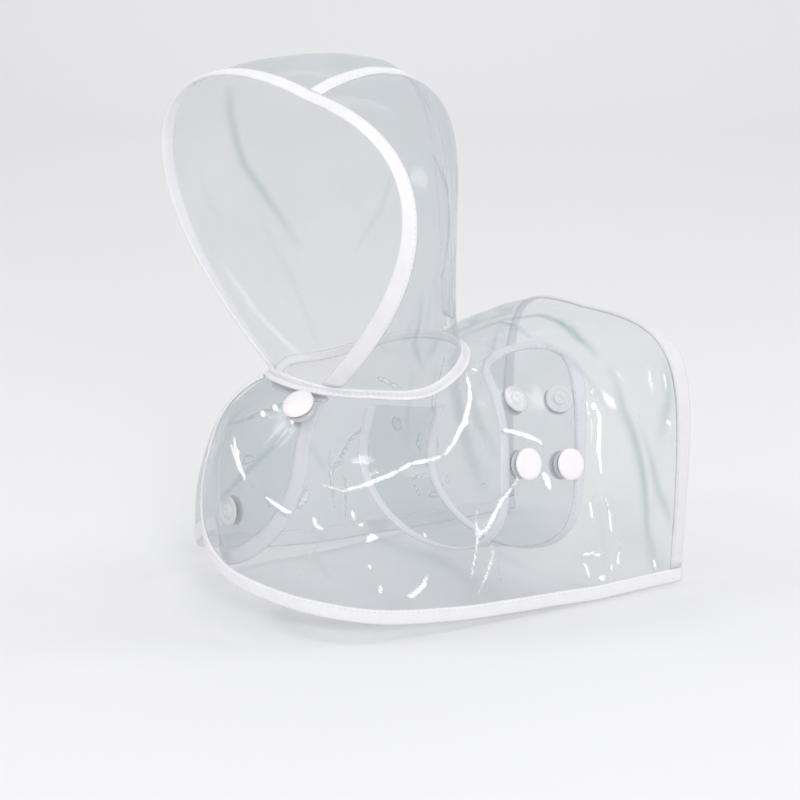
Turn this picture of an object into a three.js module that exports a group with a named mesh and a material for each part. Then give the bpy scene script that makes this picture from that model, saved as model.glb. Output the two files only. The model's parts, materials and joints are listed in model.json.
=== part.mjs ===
// A dog's raincoat of clear film: a cape in one piece, a two-panel hood, bound edges and seams,
// a belly strap and resin press studs, in the shape it takes when worn.
// Millimetres, +Z up. The front faces -Y and the left side is +X. The origin is on the neck seam,
// at the middle of the back, where the coat rests on its wearer.
import * as THREE from "three";
import { mergeVertices } from "three/addons/utils/BufferGeometryUtils.js";

// Driving dimensions
const FILM = 1.0; // wall of the film
const TAPE = 2.0; // thickness of the folded binding
const TAPE_WIDTH = 7.5;
const GAP = 0.3; // between pieces at a seam
const NECK = { middle: -45, across: 44, along: 45 }; // the neck seam's middle and its two half-widths
const OVERLAP = { inward: 3, down: 4.6 }; // how far the right front lies inside the left one
const STRAP = { long: 84, half: 24, tape: 5.5, round: 26, inside: 4.6, belly: 52, rise: 0.2 };
Object.assign(STRAP, { rib: 5.75, down: 0.72, lean: 9 }); // where it leaves the flank, and how it leans
const SNAP = { cap: 15, disc: 13.5, capHeight: 2.4, pairHeight: 2.4, backHeight: 1.4 };
const HEAD = { middle: new THREE.Vector3(15.7, -90.4, 78), yaw: 19, roll: 11 }; // how the hood is turned

const UP = new THREE.Vector3(0, 0, 1);
const FORE_AND_AFT = new THREE.Vector3(0, 1, 0);
const RADIANS = Math.PI / 180;

// A table with a row for each section: its first column, s, counts the sections.
function table(columns, rows) {
  const names = columns.split(" ");
  return rows.map((row) => Object.fromEntries(row.map((value, i) => [names[i], value])));
}

// The height of the neck seam by its angle from the front.
const SEAT = table("s z", [
  [0, -8],
  [30, -9],
  [60, -10],
  [95, -12],
  [122, -7],
  [150, -1.7],
  [168, -0.4],
  [180, 0],
]);

// The cape's ribs, from the front edge, s = 0, to the rear edge, s = 10. Each starts at an angle of the
// neck seam (ring) or back along the spine (spine, rise), runs outward (lead, drop), and hangs (hang)
// to the hem (hx, hy, hz). tuck is the share of the overlap by which it lies inside.
const RIBS = "s ring spine rise hx hy hz lead drop hang tuck";
const LEFT = table(RIBS, [
  [0, -29, 0, 0, -50, -107, -91, 20, 8, 50, 0],
  [1, 0, 0, 0, -6, -125, -95, 22, 8, 50, 0],
  [2, 30, 0, 0, 34, -111, -103, 24, 8, 52, 0],
  [3, 62, 0, 0, 58, -80, -110, 20, 6, 55, 0],
  [4, 98, 0, 0, 66, -42, -114, 18, 2, 60, 0],
  [5, 132, 0, 0, 68, -8, -116, 24, -1, 66, 0],
  [6, 162, 0, 0, 69, 18, -117, 36, -5, 76, 0],
  [7, 180, 0, 0, 70, 38, -118, 46, -8, 88, 0],
  [8, 180, 22, 6, 70, 52, -118, 54, -4, 100, 0],
  [9, 180, 55, 9.5, 70, 72, -118, 64, -2, 110, 0],
  [10, 180, 88, 7.5, 70, 91, -118, 80, -1, 118, 0],
]);
const RIGHT = table(RIBS, [
  [0, -34, 0, 0, -42, -105, -105, 24, 8, 52, 1],
  [1, 0, 0, 0, -2, -124, -96, 22, 8, 50, 1],
  [2, 29, 0, 0, 50, -107, -91, 20, 8, 50, 1],
  [2.6, 48, 0, 0, 67.5, -105, -104, 20, 7, 52, 0.6],
  [3, 62, 0, 0, 69, -86, -109, 20, 6, 55, 0.25],
  ...LEFT.slice(4).map((row) => Object.values(row)),
]);
const CORNER = { s: 1.5, v: 0.55 }; // how far the front corner is rounded, along the hem and up the edge

// The hood's ribs, from the face, s = 0, to the middle of the back, s = 5. Each starts on the crown seam
// (side, back, up, from the head's middle), runs outward (lead, fore, rise), swells over the neck
// (out, ahead, lift) and ends at an angle of the neck seam (ring).
const PANEL = "s ring side back up lead fore rise out ahead lift";
const HOOD_LEFT = table(PANEL, [
  [0, 29, -3, 0, 42, 87, -10, 0, 66, -24, 77],
  [1, 60, -4, 24, 49, 80, -6, 2, 52, -14, 68],
  [2, 90, -4, 52, 51, 60, -2, 3, 12, -6, 60],
  [3, 120, -1, 76, 43, 42, 0, 2, -14, -4, 50],
  [4, 148, 10, 89, 6, 20, -2, 0, -16, -4, 30],
  [5, 177.5, 28.7, 91, -70, 6, 0, 0, 0, 0, 4],
]);
const HOOD_RIGHT = table(PANEL, [
  [0, 36, -3, 0, 42, 88, -10, 18, 114, -24, 80],
  [1, 64, -4, 24, 49, 84, -6, 20, 90, -14, 72],
  [2, 92, -4, 52, 51, 66, 4, 24, 30, -6, 60],
  [3, 122, -1, 76, 43, 48, 10, 20, -2, -2, 50],
  [4, 150, 10, 89, 6, 26, 4, 4, -6, -4, 30],
  [5, 177.5, 28.7, 91, -70, 6, 0, 0, 0, 0, 4],
]);

// The largest folds: a line over the ribs (s) and down them (v), its half-width, and its height.
const FOLD = "s0 v0 s1 v1 wide high";
const FOLDS_LEFT = table(FOLD, [
  [0.2, 0.62, 1.6, 0.3, 0.3, -2.0],
  [1.2, 0.48, 3.6, 0.44, 0.35, 1.8],
  [4.1, 0.12, 5.0, 0.42, 0.3, 2.6],
  [4.9, 0.7, 4.4, 0.94, 0.28, 2.2],
  [8.1, 0.35, 8.4, 0.85, 0.3, 2.0],
  [9.2, 0.3, 8.9, 0.9, 0.25, -2.2],
]);
const FOLDS_RIGHT = table(FOLD, [
  [1.6, 0.45, 3.4, 0.5, 0.35, 1.8],
  [4.2, 0.12, 5.2, 0.45, 0.3, 2.4],
  [5.6, 0.5, 5.0, 0.88, 0.28, 2.2],
  [7.6, 0.35, 7.9, 0.85, 0.3, 2.0],
  [9.1, 0.35, 8.8, 0.85, 0.25, -2.0],
]);

// A smooth curve through one column of a table. The steady columns never run past their values.
const STEADY = ["ring", "spine", "rise"];

function along(rows, key, s) {
  let k = 0;
  while (k < rows.length - 2 && s >= rows[k + 1].s) k += 1;
  const slope = (i) => (rows[i + 1][key] - rows[i][key]) / (rows[i + 1].s - rows[i].s);
  const tangent = (i) => {
    if (i === 0) return slope(0);
    if (i === rows.length - 1) return slope(i - 1);
    if (STEADY.includes(key) && slope(i - 1) * slope(i) <= 0) return 0;
    const before = rows[i].s - rows[i - 1].s;
    const after = rows[i + 1].s - rows[i].s;
    return (slope(i - 1) * after + slope(i) * before) / (before + after);
  };
  const step = rows[k + 1].s - rows[k].s;
  const t = (s - rows[k].s) / step;
  const start = rows[k][key] * (1 + 2 * t) * (1 - t) ** 2;
  const end = rows[k + 1][key] * t * t * (3 - 2 * t);
  return start + end + step * (tangent(k) * t * (1 - t) ** 2 + tangent(k + 1) * t * t * (t - 1));
}

function bezier(p0, p1, p2, p3, t) {
  return p0
    .clone()
    .multiplyScalar((1 - t) ** 3)
    .addScaledVector(p1, 3 * t * (1 - t) ** 2)
    .addScaledVector(p2, 3 * t * t * (1 - t))
    .addScaledVector(p3, t ** 3);
}

// A point of the neck seam, at degrees from the front towards the left, tucked inside by a share.
function neckPoint(degrees, tuck) {
  const t = degrees * RADIANS;
  const folded = Math.abs(((degrees + 540) % 360) - 180);
  const x = (NECK.across - OVERLAP.inward * tuck) * Math.sin(t);
  const y = NECK.middle - (NECK.along - OVERLAP.inward * tuck) * Math.cos(t);
  return new THREE.Vector3(x, y, along(SEAT, "z", folded) - OVERLAP.down * tuck);
}

// The cape's smooth middle surface, from the neck or the spine, v = 0, to the hem, v = 1.
function capeSmooth(rows, side, s, v) {
  const col = (key) => along(rows, key, s);
  const tuck = Math.max(0, col("tuck"));
  const top = neckPoint(s > 7 ? 180 : col("ring"), tuck);
  if (s > 7) top.add(new THREE.Vector3(0, col("spine"), col("rise")));
  const hem = new THREE.Vector3(col("hx"), col("hy"), col("hz"));
  const out = new THREE.Vector3(hem.x - top.x, hem.y - top.y, 0).normalize();
  hem.addScaledVector(out, -OVERLAP.down * tuck);
  const p1 = top.clone().addScaledVector(out, col("lead")).addScaledVector(UP, -col("drop"));
  const p2 = hem.clone().addScaledVector(out, 6).addScaledVector(UP, col("hang"));
  const p = bezier(top, p1, p2, hem, v);
  p.x *= side;
  return p;
}

// The hood's middle surface, from the crown seam, v = 0, to the neck, v = 1.
const HEAD_TURN = new THREE.Matrix4()
  .makeRotationZ(HEAD.yaw * RADIANS)
  .multiply(new THREE.Matrix4().makeRotationY(HEAD.roll * RADIANS))
  .setPosition(HEAD.middle);
const HEAD_BACK = HEAD_TURN.clone().invert();

function hoodPoint(rows, side, s, v) {
  const col = (key) => along(rows, key, s);
  const crown = new THREE.Vector3(col("side"), col("back"), col("up"));
  const p1 = crown.clone().add(new THREE.Vector3(side * col("lead"), col("fore"), col("rise")));
  const base = hoodBase(side, col("ring")).applyMatrix4(HEAD_BACK);
  const p2 = base.clone().add(new THREE.Vector3(side * col("out"), col("ahead"), col("lift")));
  return bezier(crown, p1, p2, base, v).applyMatrix4(HEAD_TURN);
}

// Where a hood panel stands on the neck seam. The right one follows the front that lies inside.
function hoodBase(side, ring) {
  if (side > 0) return neckPoint(ring, 0);
  const point = neckPoint(ring, Math.max(0, along(RIGHT, "tuck", sectionAt(RIGHT, ring))));
  point.x *= -1;
  return point;
}

// The rib whose top is at an angle of the neck seam.
function sectionAt(rows, ring) {
  let low = 0;
  let high = 7;
  for (let i = 0; i < 40; i += 1) {
    const middle = (low + high) / 2;
    if (along(rows, "ring", middle) < ring) low = middle;
    else high = middle;
  }
  return low;
}

// The two directions of a surface at a point, and its normal.
function frameAt(surface, s, v) {
  const e = 1e-3;
  const ds = surface(s + e, v).sub(surface(s - e, v)).divideScalar(2 * e);
  const dv = surface(s, v + e).sub(surface(s, v - e)).divideScalar(2 * e);
  return { ds, dv, normal: dv.clone().cross(ds).normalize() };
}

// Where a straight walk over a surface ends, after a distance in a direction, and its last direction.
function walk(surface, s, v, direction, distance) {
  const steps = Math.ceil(distance / 2.5);
  const way = direction.clone();
  for (let i = 0; i < steps; i += 1) {
    const { ds, dv, normal } = frameAt(surface, s, v);
    way.addScaledVector(normal, -way.dot(normal)).normalize();
    const a = ds.dot(ds);
    const b = ds.dot(dv);
    const c = dv.dot(dv);
    const x = ds.dot(way);
    const y = dv.dot(way);
    const d = ((a * c - b * b) * steps) / distance;
    s += (c * x - b * y) / d;
    v += (a * y - b * x) / d;
  }
  return [s, v, way];
}

// How high the folds stand at a point of the cape.
function foldHeight(folds, s, v) {
  let height = 0;
  for (const f of folds) {
    const along2 = [f.s1 - f.s0, (f.v1 - f.v0) * 3];
    const to = [s - f.s0, (v - f.v0) * 3];
    const length2 = along2[0] ** 2 + along2[1] ** 2;
    const t = THREE.MathUtils.clamp((to[0] * along2[0] + to[1] * along2[1]) / length2, 0, 1);
    const away2 = (to[0] - t * along2[0]) ** 2 + (to[1] - t * along2[1]) ** 2;
    height += f.high * Math.exp(-away2 / f.wide ** 2) * Math.sin(Math.PI * (0.15 + 0.7 * t));
  }
  return height;
}

function capeOf(rows, folds, side) {
  const smooth = (s, v) => capeSmooth(rows, side, s, v);
  return (s, v) => {
    const p = smooth(s, v);
    const calm = THREE.MathUtils.smoothstep(v, 0.02, 0.16) * THREE.MathUtils.smoothstep(1 - v, 0.02, 0.14);
    return p.addScaledVector(frameAt(smooth, s, v).normal, side * calm * foldHeight(folds, s, v));
  };
}

const capeLeft = capeOf(LEFT, FOLDS_LEFT, 1);
const capeRight = capeOf(RIGHT, FOLDS_RIGHT, -1);
const hoodLeft = (s, v) => hoodPoint(HOOD_LEFT, 1, s, v);
const hoodRight = (s, v) => hoodPoint(HOOD_RIGHT, -1, s, v);

// A run of evenly spaced numbers.
function spread(from, to, count) {
  return Array.from({ length: count + 1 }, (_, i) => from + ((to - from) * i) / count);
}

// A middle sheet from a grid of points: points and quads.
function sheetOf(grid) {
  const wide = grid[0].length;
  const points = grid.flat();
  const quads = [];
  for (let i = 0; i + 1 < grid.length; i += 1) {
    for (let j = 0; j + 1 < wide; j += 1) {
      const a = i * wide + j;
      quads.push([a, a + wide, a + wide + 1, a + 1]);
    }
  }
  return { points, quads };
}

// Two sheets joined where their points meet. The second is turned over if its faces look the other way.
function joined(first, second, turnOver) {
  const key = (p) => p.toArray().map((x) => Math.round(x * 1000)).join();
  const seen = new Map(first.points.map((p, i) => [key(p), i]));
  const points = [...first.points];
  const place = second.points.map((p) => {
    if (!seen.has(key(p))) {
      seen.set(key(p), points.length);
      points.push(p);
    }
    return seen.get(key(p));
  });
  const quads = second.quads.map((q) => {
    const moved = q.map((i) => place[i]);
    return turnOver ? moved.reverse() : moved;
  });
  return { points, quads: [...first.quads, ...quads] };
}

// A closed wall round a middle sheet.
function wall(sheet, thickness) {
  const triangles = sheet.quads.flatMap(([a, b, c, d]) => [
    [a, b, c],
    [a, c, d],
  ]);
  const normals = sheet.points.map(() => new THREE.Vector3());
  for (const t of triangles) {
    const [a, b, c] = t.map((i) => sheet.points[i]);
    const n = b.clone().sub(a).cross(c.clone().sub(a));
    for (const i of t) normals[i].add(n);
  }
  const count = sheet.points.length;
  const position = [];
  for (const way of [0.5, -0.5]) {
    sheet.points.forEach((p, i) => {
      position.push(...p.clone().addScaledVector(normals[i].clone().normalize(), way * thickness));
    });
  }
  const index = [];
  const uses = new Map();
  for (const [a, b, c] of triangles) {
    index.push(a, b, c, a + count, c + count, b + count);
    for (const [m, n] of [[a, b], [b, c], [c, a]]) {
      if (!uses.delete(n + " " + m)) uses.set(m + " " + n, [m, n]);
    }
  }
  for (const [m, n] of uses.values()) index.push(n, m, m + count, n, m + count, n + count);
  const geometry = new THREE.BufferGeometry();
  geometry.setAttribute("position", new THREE.Float32BufferAttribute(position, 3));
  geometry.setIndex(index);
  geometry.computeVertexNormals();
  return geometry;
}

// The front edge, from the neck down and round its corner, as pairs of s and v.
function frontEdge(count, start = 0) {
  const straight = spread(start, 1 - CORNER.v, count).slice(0, -1).map((v) => [0, v]);
  const round = spread(0, Math.PI / 2, count).map((t) => [
    CORNER.s * (1 - Math.cos(t)),
    1 - CORNER.v + CORNER.v * Math.sin(t),
  ]);
  return [...straight, ...round];
}

// A line of pairs moved over a surface by a distance, towards higher s where it runs down.
function inset(surface, line, distance) {
  return line.map(([s, v], i) => {
    const before = line[Math.max(i - 1, 0)];
    const after = line[Math.min(i + 1, line.length - 1)];
    const run = surface(...after).sub(surface(...before)).normalize();
    if (!distance) return [s, v];
    const into = frameAt(surface, s, v).normal.cross(run);
    const square = walk(surface, s, v, into, distance).slice(0, 2);
    if (s > 0) return square;
    // Near the neck a step follows the neck seam, so that the pieces there end side by side.
    const share = THREE.MathUtils.smoothstep(v, 0, 1 - CORNER.v);
    const level = [distance / widthOf(surface, s, v), v];
    return [0, 1].map((k) => level[k] + share * (square[k] - level[k]));
  });
}

// A binding along a line of pairs, from the edge inward.
function bindingGrid(surface, line) {
  const rows = spread(0, TAPE_WIDTH, 2).map((d) => inset(surface, line, d));
  return line.map((_, i) => rows.map((row) => surface(...row[i])));
}

// How far a step in v, or in s, moves square to the other direction.
function heightOf(surface, s, v) {
  const { ds, dv } = frameAt(surface, s, v);
  return dv.clone().addScaledVector(ds, -dv.dot(ds) / ds.dot(ds)).length();
}

function widthOf(surface, s, v) {
  const { ds, dv } = frameAt(surface, s, v);
  return ds.clone().addScaledVector(dv, -ds.dot(dv) / dv.dot(dv)).length();
}

// The level that lies a distance inside the end, v = 0 or v = 1, of a surface.
function levelIn(surface, s, end, distance) {
  const steps = Math.ceil(distance / 1.2);
  let v = end;
  for (let i = 0; i < steps; i += 1) {
    v += ((end ? -1 : 1) * distance) / steps / heightOf(surface, s, v);
  }
  return v;
}

const SEAM = TAPE_WIDTH / 2; // half of a binding that lies over a seam
const FREE = TAPE_WIDTH + 1.5 * GAP; // where the film starts beside an edge binding

// How far a point is from the neck seam.
function fromNeck(p) {
  const x = p.x / NECK.across;
  const y = (p.y - NECK.middle) / NECK.along;
  const share = Math.hypot(x, y);
  const angle = Math.atan2(x, -y) / RADIANS;
  const plan = (1 - 1 / share) * Math.hypot(p.x, p.y - NECK.middle);
  return Math.hypot(plan, p.z - along(SEAT, "z", Math.abs(angle)));
}

// Where the cape's film starts below the neck seam. Behind the neck it reaches the spine.
function capeTop(surface, s) {
  if (s < 5) return levelIn(surface, s, 0, SEAM + 2 * GAP);
  let v = 0;
  while (fromNeck(surface(s, v)) < SEAM + 2 * GAP) v += 0.0005;
  return v;
}

// The rib at which the film reaches the spine.
function spineStart() {
  let s = 7;
  while (along(LEFT, "spine", s) < SEAM + 2 * GAP) s += 0.001;
  return s;
}

// Half of the cape's film: rows from the neck to the hem, columns from the front edge to the rear.
function capeHalf(surface) {
  const bottom = (s) => levelIn(surface, s, 1, FREE + 2.7 * GAP);
  const share = (s, v) => (v - capeTop(surface, s)) / (bottom(s) - capeTop(surface, s));
  const edge = inset(surface, frontEdge(9), FREE + GAP)
    .map(([s, v]) => ({ s: share(s, v), rib: s }))
    .filter((p) => p.s > 0.02 && p.s < 0.97);
  const first = FREE / widthOf(surface, 0, 0);
  const ends = [{ s: 0, rib: first }, ...edge, { s: 1, rib: CORNER.s }];
  const spine = spineStart();
  const tops = (s) => capeTop(surface, s);
  return ends.map((end) => {
    const last = 10 - FREE / widthOf(surface, 10, end.s);
    const columns = [...spread(end.rib, 7, 30), (7 + spine) / 2, ...spread(spine, last, 12)];
    return columns.map((s) => {
      const top = s === spine ? 0 : tops(s);
      return surface(s, top + end.s * (bottom(s) - top));
    });
  });
}

// The binding of a front edge, its corner and the hem, as far as the rear corner.
function hemBinding(surface) {
  const hem = [...spread(CORNER.s, 7, 30), ...spread(7, 10, 11).slice(1)].slice(1).map((s) => [s, 1]);
  const start = (SEAM + 1.5 * GAP) / heightOf(surface, 0, 0);
  const grid = bindingGrid(surface, [...frontEdge(12, start), ...hem]);
  grid[0] = spread(0, TAPE_WIDTH, 2).map((d) => {
    const s = d / widthOf(surface, 0, 0);
    return surface(s, levelIn(surface, s, 0, SEAM + 1.5 * GAP));
  });
  return grid;
}

// The binding of the rear edge, from one hem over the spine to the other.
function rearBinding() {
  const strip = (surface) => {
    const last = levelIn(surface, 10, 1, FREE + GAP);
    return spread(0, last, 14).map((v) =>
      spread(0, TAPE_WIDTH, 2).map((d) => surface(10 - d / widthOf(surface, 10, v), v)),
    );
  };
  return [...strip(capeRight).reverse(), ...strip(capeLeft).slice(1)];
}

// A hood panel's film: rows from the crown seam to the neck, columns from the face to the nape.
function hoodHalf(surface) {
  const away = SEAM + 1.5 * GAP;
  const top = (s) => levelIn(surface, s, 0, away);
  const bottom = (s) => levelIn(surface, s, 1, away);
  let last = 4.98;
  while (bottom(last) - top(last) < 0.12) last -= 0.01;
  return spread(0, 1, 14).map((share) => {
    const from = FREE / widthOf(surface, 0, share);
    return spread(from, last, 24).map((s) => surface(s, top(s) + share * (bottom(s) - top(s))));
  });
}

// The binding of the face opening, from the left side of the neck over the crown to the right side.
function faceBinding() {
  const strip = (surface) => {
    const last = levelIn(surface, 0, 1, SEAM + 1.5 * GAP);
    return spread(0, last, 16).map((v) =>
      spread(0, TAPE_WIDTH, 2).map((d) => surface(d / widthOf(surface, 0, v), v)),
    );
  };
  return [...strip(hoodLeft).reverse(), ...strip(hoodRight).slice(1)];
}

// The binding over the crown seam, from the face binding to just above the nape.
function crownBinding() {
  const from = FREE / widthOf(hoodLeft, 0, 0);
  return spread(from, 4.9, 26).map((s) => {
    const across = (surface, d) => surface(s, levelIn(surface, s, 0, d));
    const half = SEAM / 2;
    return [
      across(hoodLeft, SEAM),
      across(hoodLeft, half),
      hoodLeft(s, 0),
      across(hoodRight, half),
      across(hoodRight, SEAM),
    ];
  });
}

// Which way the hood rises from the neck seam, at degrees from the front towards the left.
function riseAt(degrees) {
  const from = (surface, s) => surface(s, 0.97).sub(surface(s, 1)).normalize();
  const panel = degrees < 180 ? hoodLeft : hoodRight;
  const rows = degrees < 180 ? HOOD_LEFT : HOOD_RIGHT;
  const ring = degrees < 180 ? degrees : 360 - degrees;
  const start = rows[0].ring;
  let section = 0;
  while (section < 5 && along(rows, "ring", section) < ring) section += 0.005;
  const back = from(hoodLeft, 4.9).add(from(hoodRight, 4.9)).normalize();
  const t = degrees * RADIANS;
  const front = new THREE.Vector3(0.3 * Math.sin(t), -0.3 * Math.cos(t), 0.95);
  const own = from(panel, Math.min(section, 4.9));
  const forward = THREE.MathUtils.smoothstep(start - ring, 0, 22);
  const rear = THREE.MathUtils.smoothstep(ring, 175, 180);
  return own.lerp(front, forward).lerp(back, rear).normalize();
}

const SPINE = new THREE.Vector3(0, 1, 0.27); // how the spine starts behind the neck

// The binding over the neck seam: half on the cape and half on the hood, open at the front.
function neckBinding() {
  const station = (surface, rows, side, degrees) => {
    const s = Math.min(sectionAt(rows, degrees), 6.99);
    const { ds, dv } = frameAt(surface, s, 0);
    const fall = dv.addScaledVector(ds, -dv.dot(ds) / ds.dot(ds)).normalize();
    fall.lerp(SPINE, THREE.MathUtils.smoothstep(degrees, 165, 180)).normalize();
    const middle = neckPoint(degrees, Math.max(0, along(rows, "tuck", s)));
    middle.x *= side;
    const rise = riseAt(side > 0 ? degrees : 360 - degrees);
    return [
      middle.clone().addScaledVector(fall, SEAM),
      middle.clone().addScaledVector(fall, SEAM / 2),
      middle,
      middle.clone().addScaledVector(rise, SEAM / 2),
      middle.clone().addScaledVector(rise, SEAM),
    ];
  };
  const angles = (rows) => [...spread(rows[0].ring, 172, 28), 175, 177.5, 180];
  const left = angles(LEFT).map((a) => station(capeLeft, LEFT, 1, a));
  const right = angles(RIGHT).map((a) => station(capeRight, RIGHT, -1, a));
  return [...left, ...right.slice(0, -1).reverse()];
}

// A point of a surface with its normal outward.
function placeOn(surface, s, v) {
  const out = surface === capeRight ? -1 : 1;
  return { point: surface(s, v), normal: frameAt(surface, s, v).normal.multiplyScalar(out), s, v };
}

// The place on a surface that is nearest to a point.
function nearestOn(surface, point, s, v) {
  for (let i = 0; i < 12; i += 1) {
    const { ds, dv } = frameAt(surface, s, v);
    const to = point.clone().sub(surface(s, v));
    const a = ds.dot(ds);
    const b = ds.dot(dv);
    const c = dv.dot(dv);
    const d = a * c - b * b;
    s += (c * to.dot(ds) - b * to.dot(dv)) / d;
    v += (a * to.dot(dv) - b * to.dot(ds)) / d;
  }
  return placeOn(surface, s, v);
}

// The place on a flank over a point of the strap: across its middle line, and b down it. The strap
// lies straight on the flank, from where it leaves it up to the free end.
function placeOverStrap(surface, across, b) {
  const side = surface === capeRight ? -1 : 1;
  const up = new THREE.Vector3(0, Math.sin(STRAP.lean * RADIANS), Math.cos(STRAP.lean * RADIANS));
  const rise = walk(surface, STRAP.rib, STRAP.down, up, Math.max(1e-6, (1 - b) * STRAP.long));
  const { normal } = frameAt(surface, rise[0], rise[1]);
  const way = rise[2].clone().cross(normal).multiplyScalar(Math.sign(across));
  if (surface === capeLeft) way.negate();
  const [s, v] = across ? walk(surface, rise[0], rise[1], way.multiplyScalar(side * -1), Math.abs(across)) : rise;
  return placeOn(surface, s, v);
}

function strapOnFlank(surface, across, b) {
  const { point, normal } = placeOverStrap(surface, across, b);
  return point.addScaledVector(normal, -STRAP.inside);
}

// The strap's middle surface: down the left flank, b from 0 to 1, under the belly, 1 to 2, and up the
// inside of the right flank, 2 to 3.
function strapPoint(across, b) {
  if (b <= 1) return strapOnFlank(capeLeft, across, b);
  const end = (surface) => {
    const point = strapOnFlank(surface, across, 1);
    const before = strapOnFlank(surface, across, 0.96);
    return [point, point.clone().add(point.clone().sub(before).setLength(STRAP.belly))];
  };
  const [from, p1] = end(capeLeft);
  const [to, p2] = end(capeRight);
  if (b <= 2) return bezier(from, p1, p2, to, b - 1);
  return strapOnFlank(capeRight, across, 1 - STRAP.rise * (b - 2));
}

// The strap's outline at a distance inside its edge, as half-widths and distances down the strap:
// a round end, and then straight edges.
function strapOutline(inside) {
  const power = 2 / 2.6;
  const end = spread(0, Math.PI / 2, 9).map((t) => [
    (STRAP.half - inside) * Math.sin(t) ** power,
    (STRAP.round - (STRAP.round - inside) * Math.max(0, Math.cos(t)) ** power) / STRAP.long,
  ]);
  const flank = spread(STRAP.round / STRAP.long, 1, 7).slice(1);
  const rest = [...flank, ...spread(1, 2, 14).slice(1), ...spread(2, 3, 3).slice(1)];
  return [...end, ...rest.map((b) => [STRAP.half - inside, b])];
}

function strapFilm() {
  return strapOutline(STRAP.tape + 2.5 * GAP)
    .slice(1)
    .map(([half, b]) => spread(-half, half, 6).map((x) => strapPoint(x, b)));
}

// The binding round the strap, from its sewn end up one edge, round the free end and down the other.
function strapBinding() {
  const lines = spread(0, STRAP.tape, 2).map((d) => strapOutline(d));
  const edge = (way) => lines[0].map((_, i) => lines.map((line) => strapPoint(way * line[i][0], line[i][1])));
  return [...edge(-1).reverse(), ...edge(1).slice(1)];
}

// A turned press-stud piece on a place: its profile runs from the axis out, and up along the normal.
function turned(profile, place, offset) {
  const geometry = new THREE.LatheGeometry(profile.map(([r, h]) => new THREE.Vector2(r, h)), 16);
  const clean = new THREE.BufferGeometry();
  clean.setAttribute("position", geometry.getAttribute("position"));
  clean.setIndex(geometry.index);
  const merged = mergeVertices(clean, 1e-4);
  const turn = new THREE.Quaternion().setFromUnitVectors(FORE_AND_AFT, place.normal);
  merged.applyQuaternion(turn);
  const to = place.point.clone().addScaledVector(place.normal, offset);
  merged.translate(to.x, to.y, to.z);
  const kept = merged.index.array;
  const index = [];
  for (let i = 0; i < kept.length; i += 3) {
    const [a, b, c] = [kept[i], kept[i + 1], kept[i + 2]];
    if (a !== b && b !== c && c !== a) index.push(a, b, c);
  }
  merged.setIndex(index);
  merged.computeVertexNormals();
  return merged;
}

// Profiles of radius and height.
const R = SNAP.cap / 2;
const D = SNAP.disc / 2;
const CAP = [
  [0, 0],
  [R - 0.3, 0],
  [R, 0.5],
  [R - 0.4, 1.1],
  [R - 1.8, 1.9],
  [R - 4, 2.3],
  [0, SNAP.capHeight],
];
const PAIR = [
  [0, 0],
  [D - 0.4, 0],
  [D, 0.4],
  [D - 0.1, 0.9],
  [D - 1.6, 1.1],
  [D - 1.6, 1.3],
  [D - 0.1, 1.5],
  [D - 0.1, 1.8],
  [D - 0.5, SNAP.pairHeight - 0.2],
  [0, SNAP.pairHeight - 0.2],
];
const DISC = [
  [0, 0],
  [D - 0.3, 0],
  [D, 0.4],
  [D - 0.3, 0.9],
  [D - 2.2, 1.0],
  [D - 2.6, 0.7],
  [3.3, 0.7],
  [3.1, 1.5],
  [2.6, 1.8],
  [0, 1.8],
];
const BACK = [
  [0, 0],
  [R - 1.2, 0],
  [R - 0.6, 0.9],
  [R - 0.8, SNAP.backHeight],
  [0, SNAP.backHeight],
];

const FILM_LOOK = { color: 0xdfe6ea, transparent: true, opacity: 0.5, roughness: 0.15 };
const TAPE_LOOK = { color: 0xeeeaf0, roughness: 0.8 };
const SNAP_LOOK = { color: 0xe6dde4, roughness: 0.35 };

const root = new THREE.Group();
root.name = "dog_raincoat";

function add(name, geometry, look) {
  const mesh = new THREE.Mesh(geometry, new THREE.MeshStandardMaterial(look));
  mesh.name = name;
  root.add(mesh);
}

const cape = joined(
  sheetOf(capeHalf(capeLeft)),
  sheetOf(capeHalf(capeRight)),
  true,
);
add("cape", wall(cape, FILM), FILM_LOOK);
add("hood_left", wall(sheetOf(hoodHalf(hoodLeft)), FILM), FILM_LOOK);
add("hood_right", wall(sheetOf(hoodHalf(hoodRight)), FILM), FILM_LOOK);
add("belly_strap", wall(sheetOf(strapFilm()), FILM), FILM_LOOK);
for (const [name, grid] of [
  ["crown_tape", crownBinding()],
  ["face_tape", faceBinding()],
  ["neck_tape", neckBinding()],
  ["hem_tape_left", hemBinding(capeLeft)],
  ["hem_tape_right", hemBinding(capeRight)],
  ["rear_tape", rearBinding()],
  ["strap_tape", strapBinding()],
]) {
  add(name, wall(sheetOf(grid), TAPE), TAPE_LOOK);
}

// Press studs: the upper ones on the strap are free, the lower ones hold it to the flank.
const CHEST = placeOn(capeLeft, 1.9, 0.16);
const LOWER = placeOn(capeLeft, 1.25, 0.76);
const STRAP_FRONT = placeOverStrap(capeLeft, -12.5, 0.83);
const STRAP_REAR = placeOverStrap(capeLeft, 12.2, 0.83);
const FREE_FRONT = placeOverStrap(capeLeft, -12, 0.44);
const FREE_REAR = placeOverStrap(capeLeft, 11, 0.44);
const COVER = FILM / 2 + GAP; // from a film's middle to a piece that lies on it
const HOLLOW = 0.9; // a round piece inside a hollow stands off this much more
const BEHIND = -COVER - HOLLOW - SNAP.backHeight;

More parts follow.
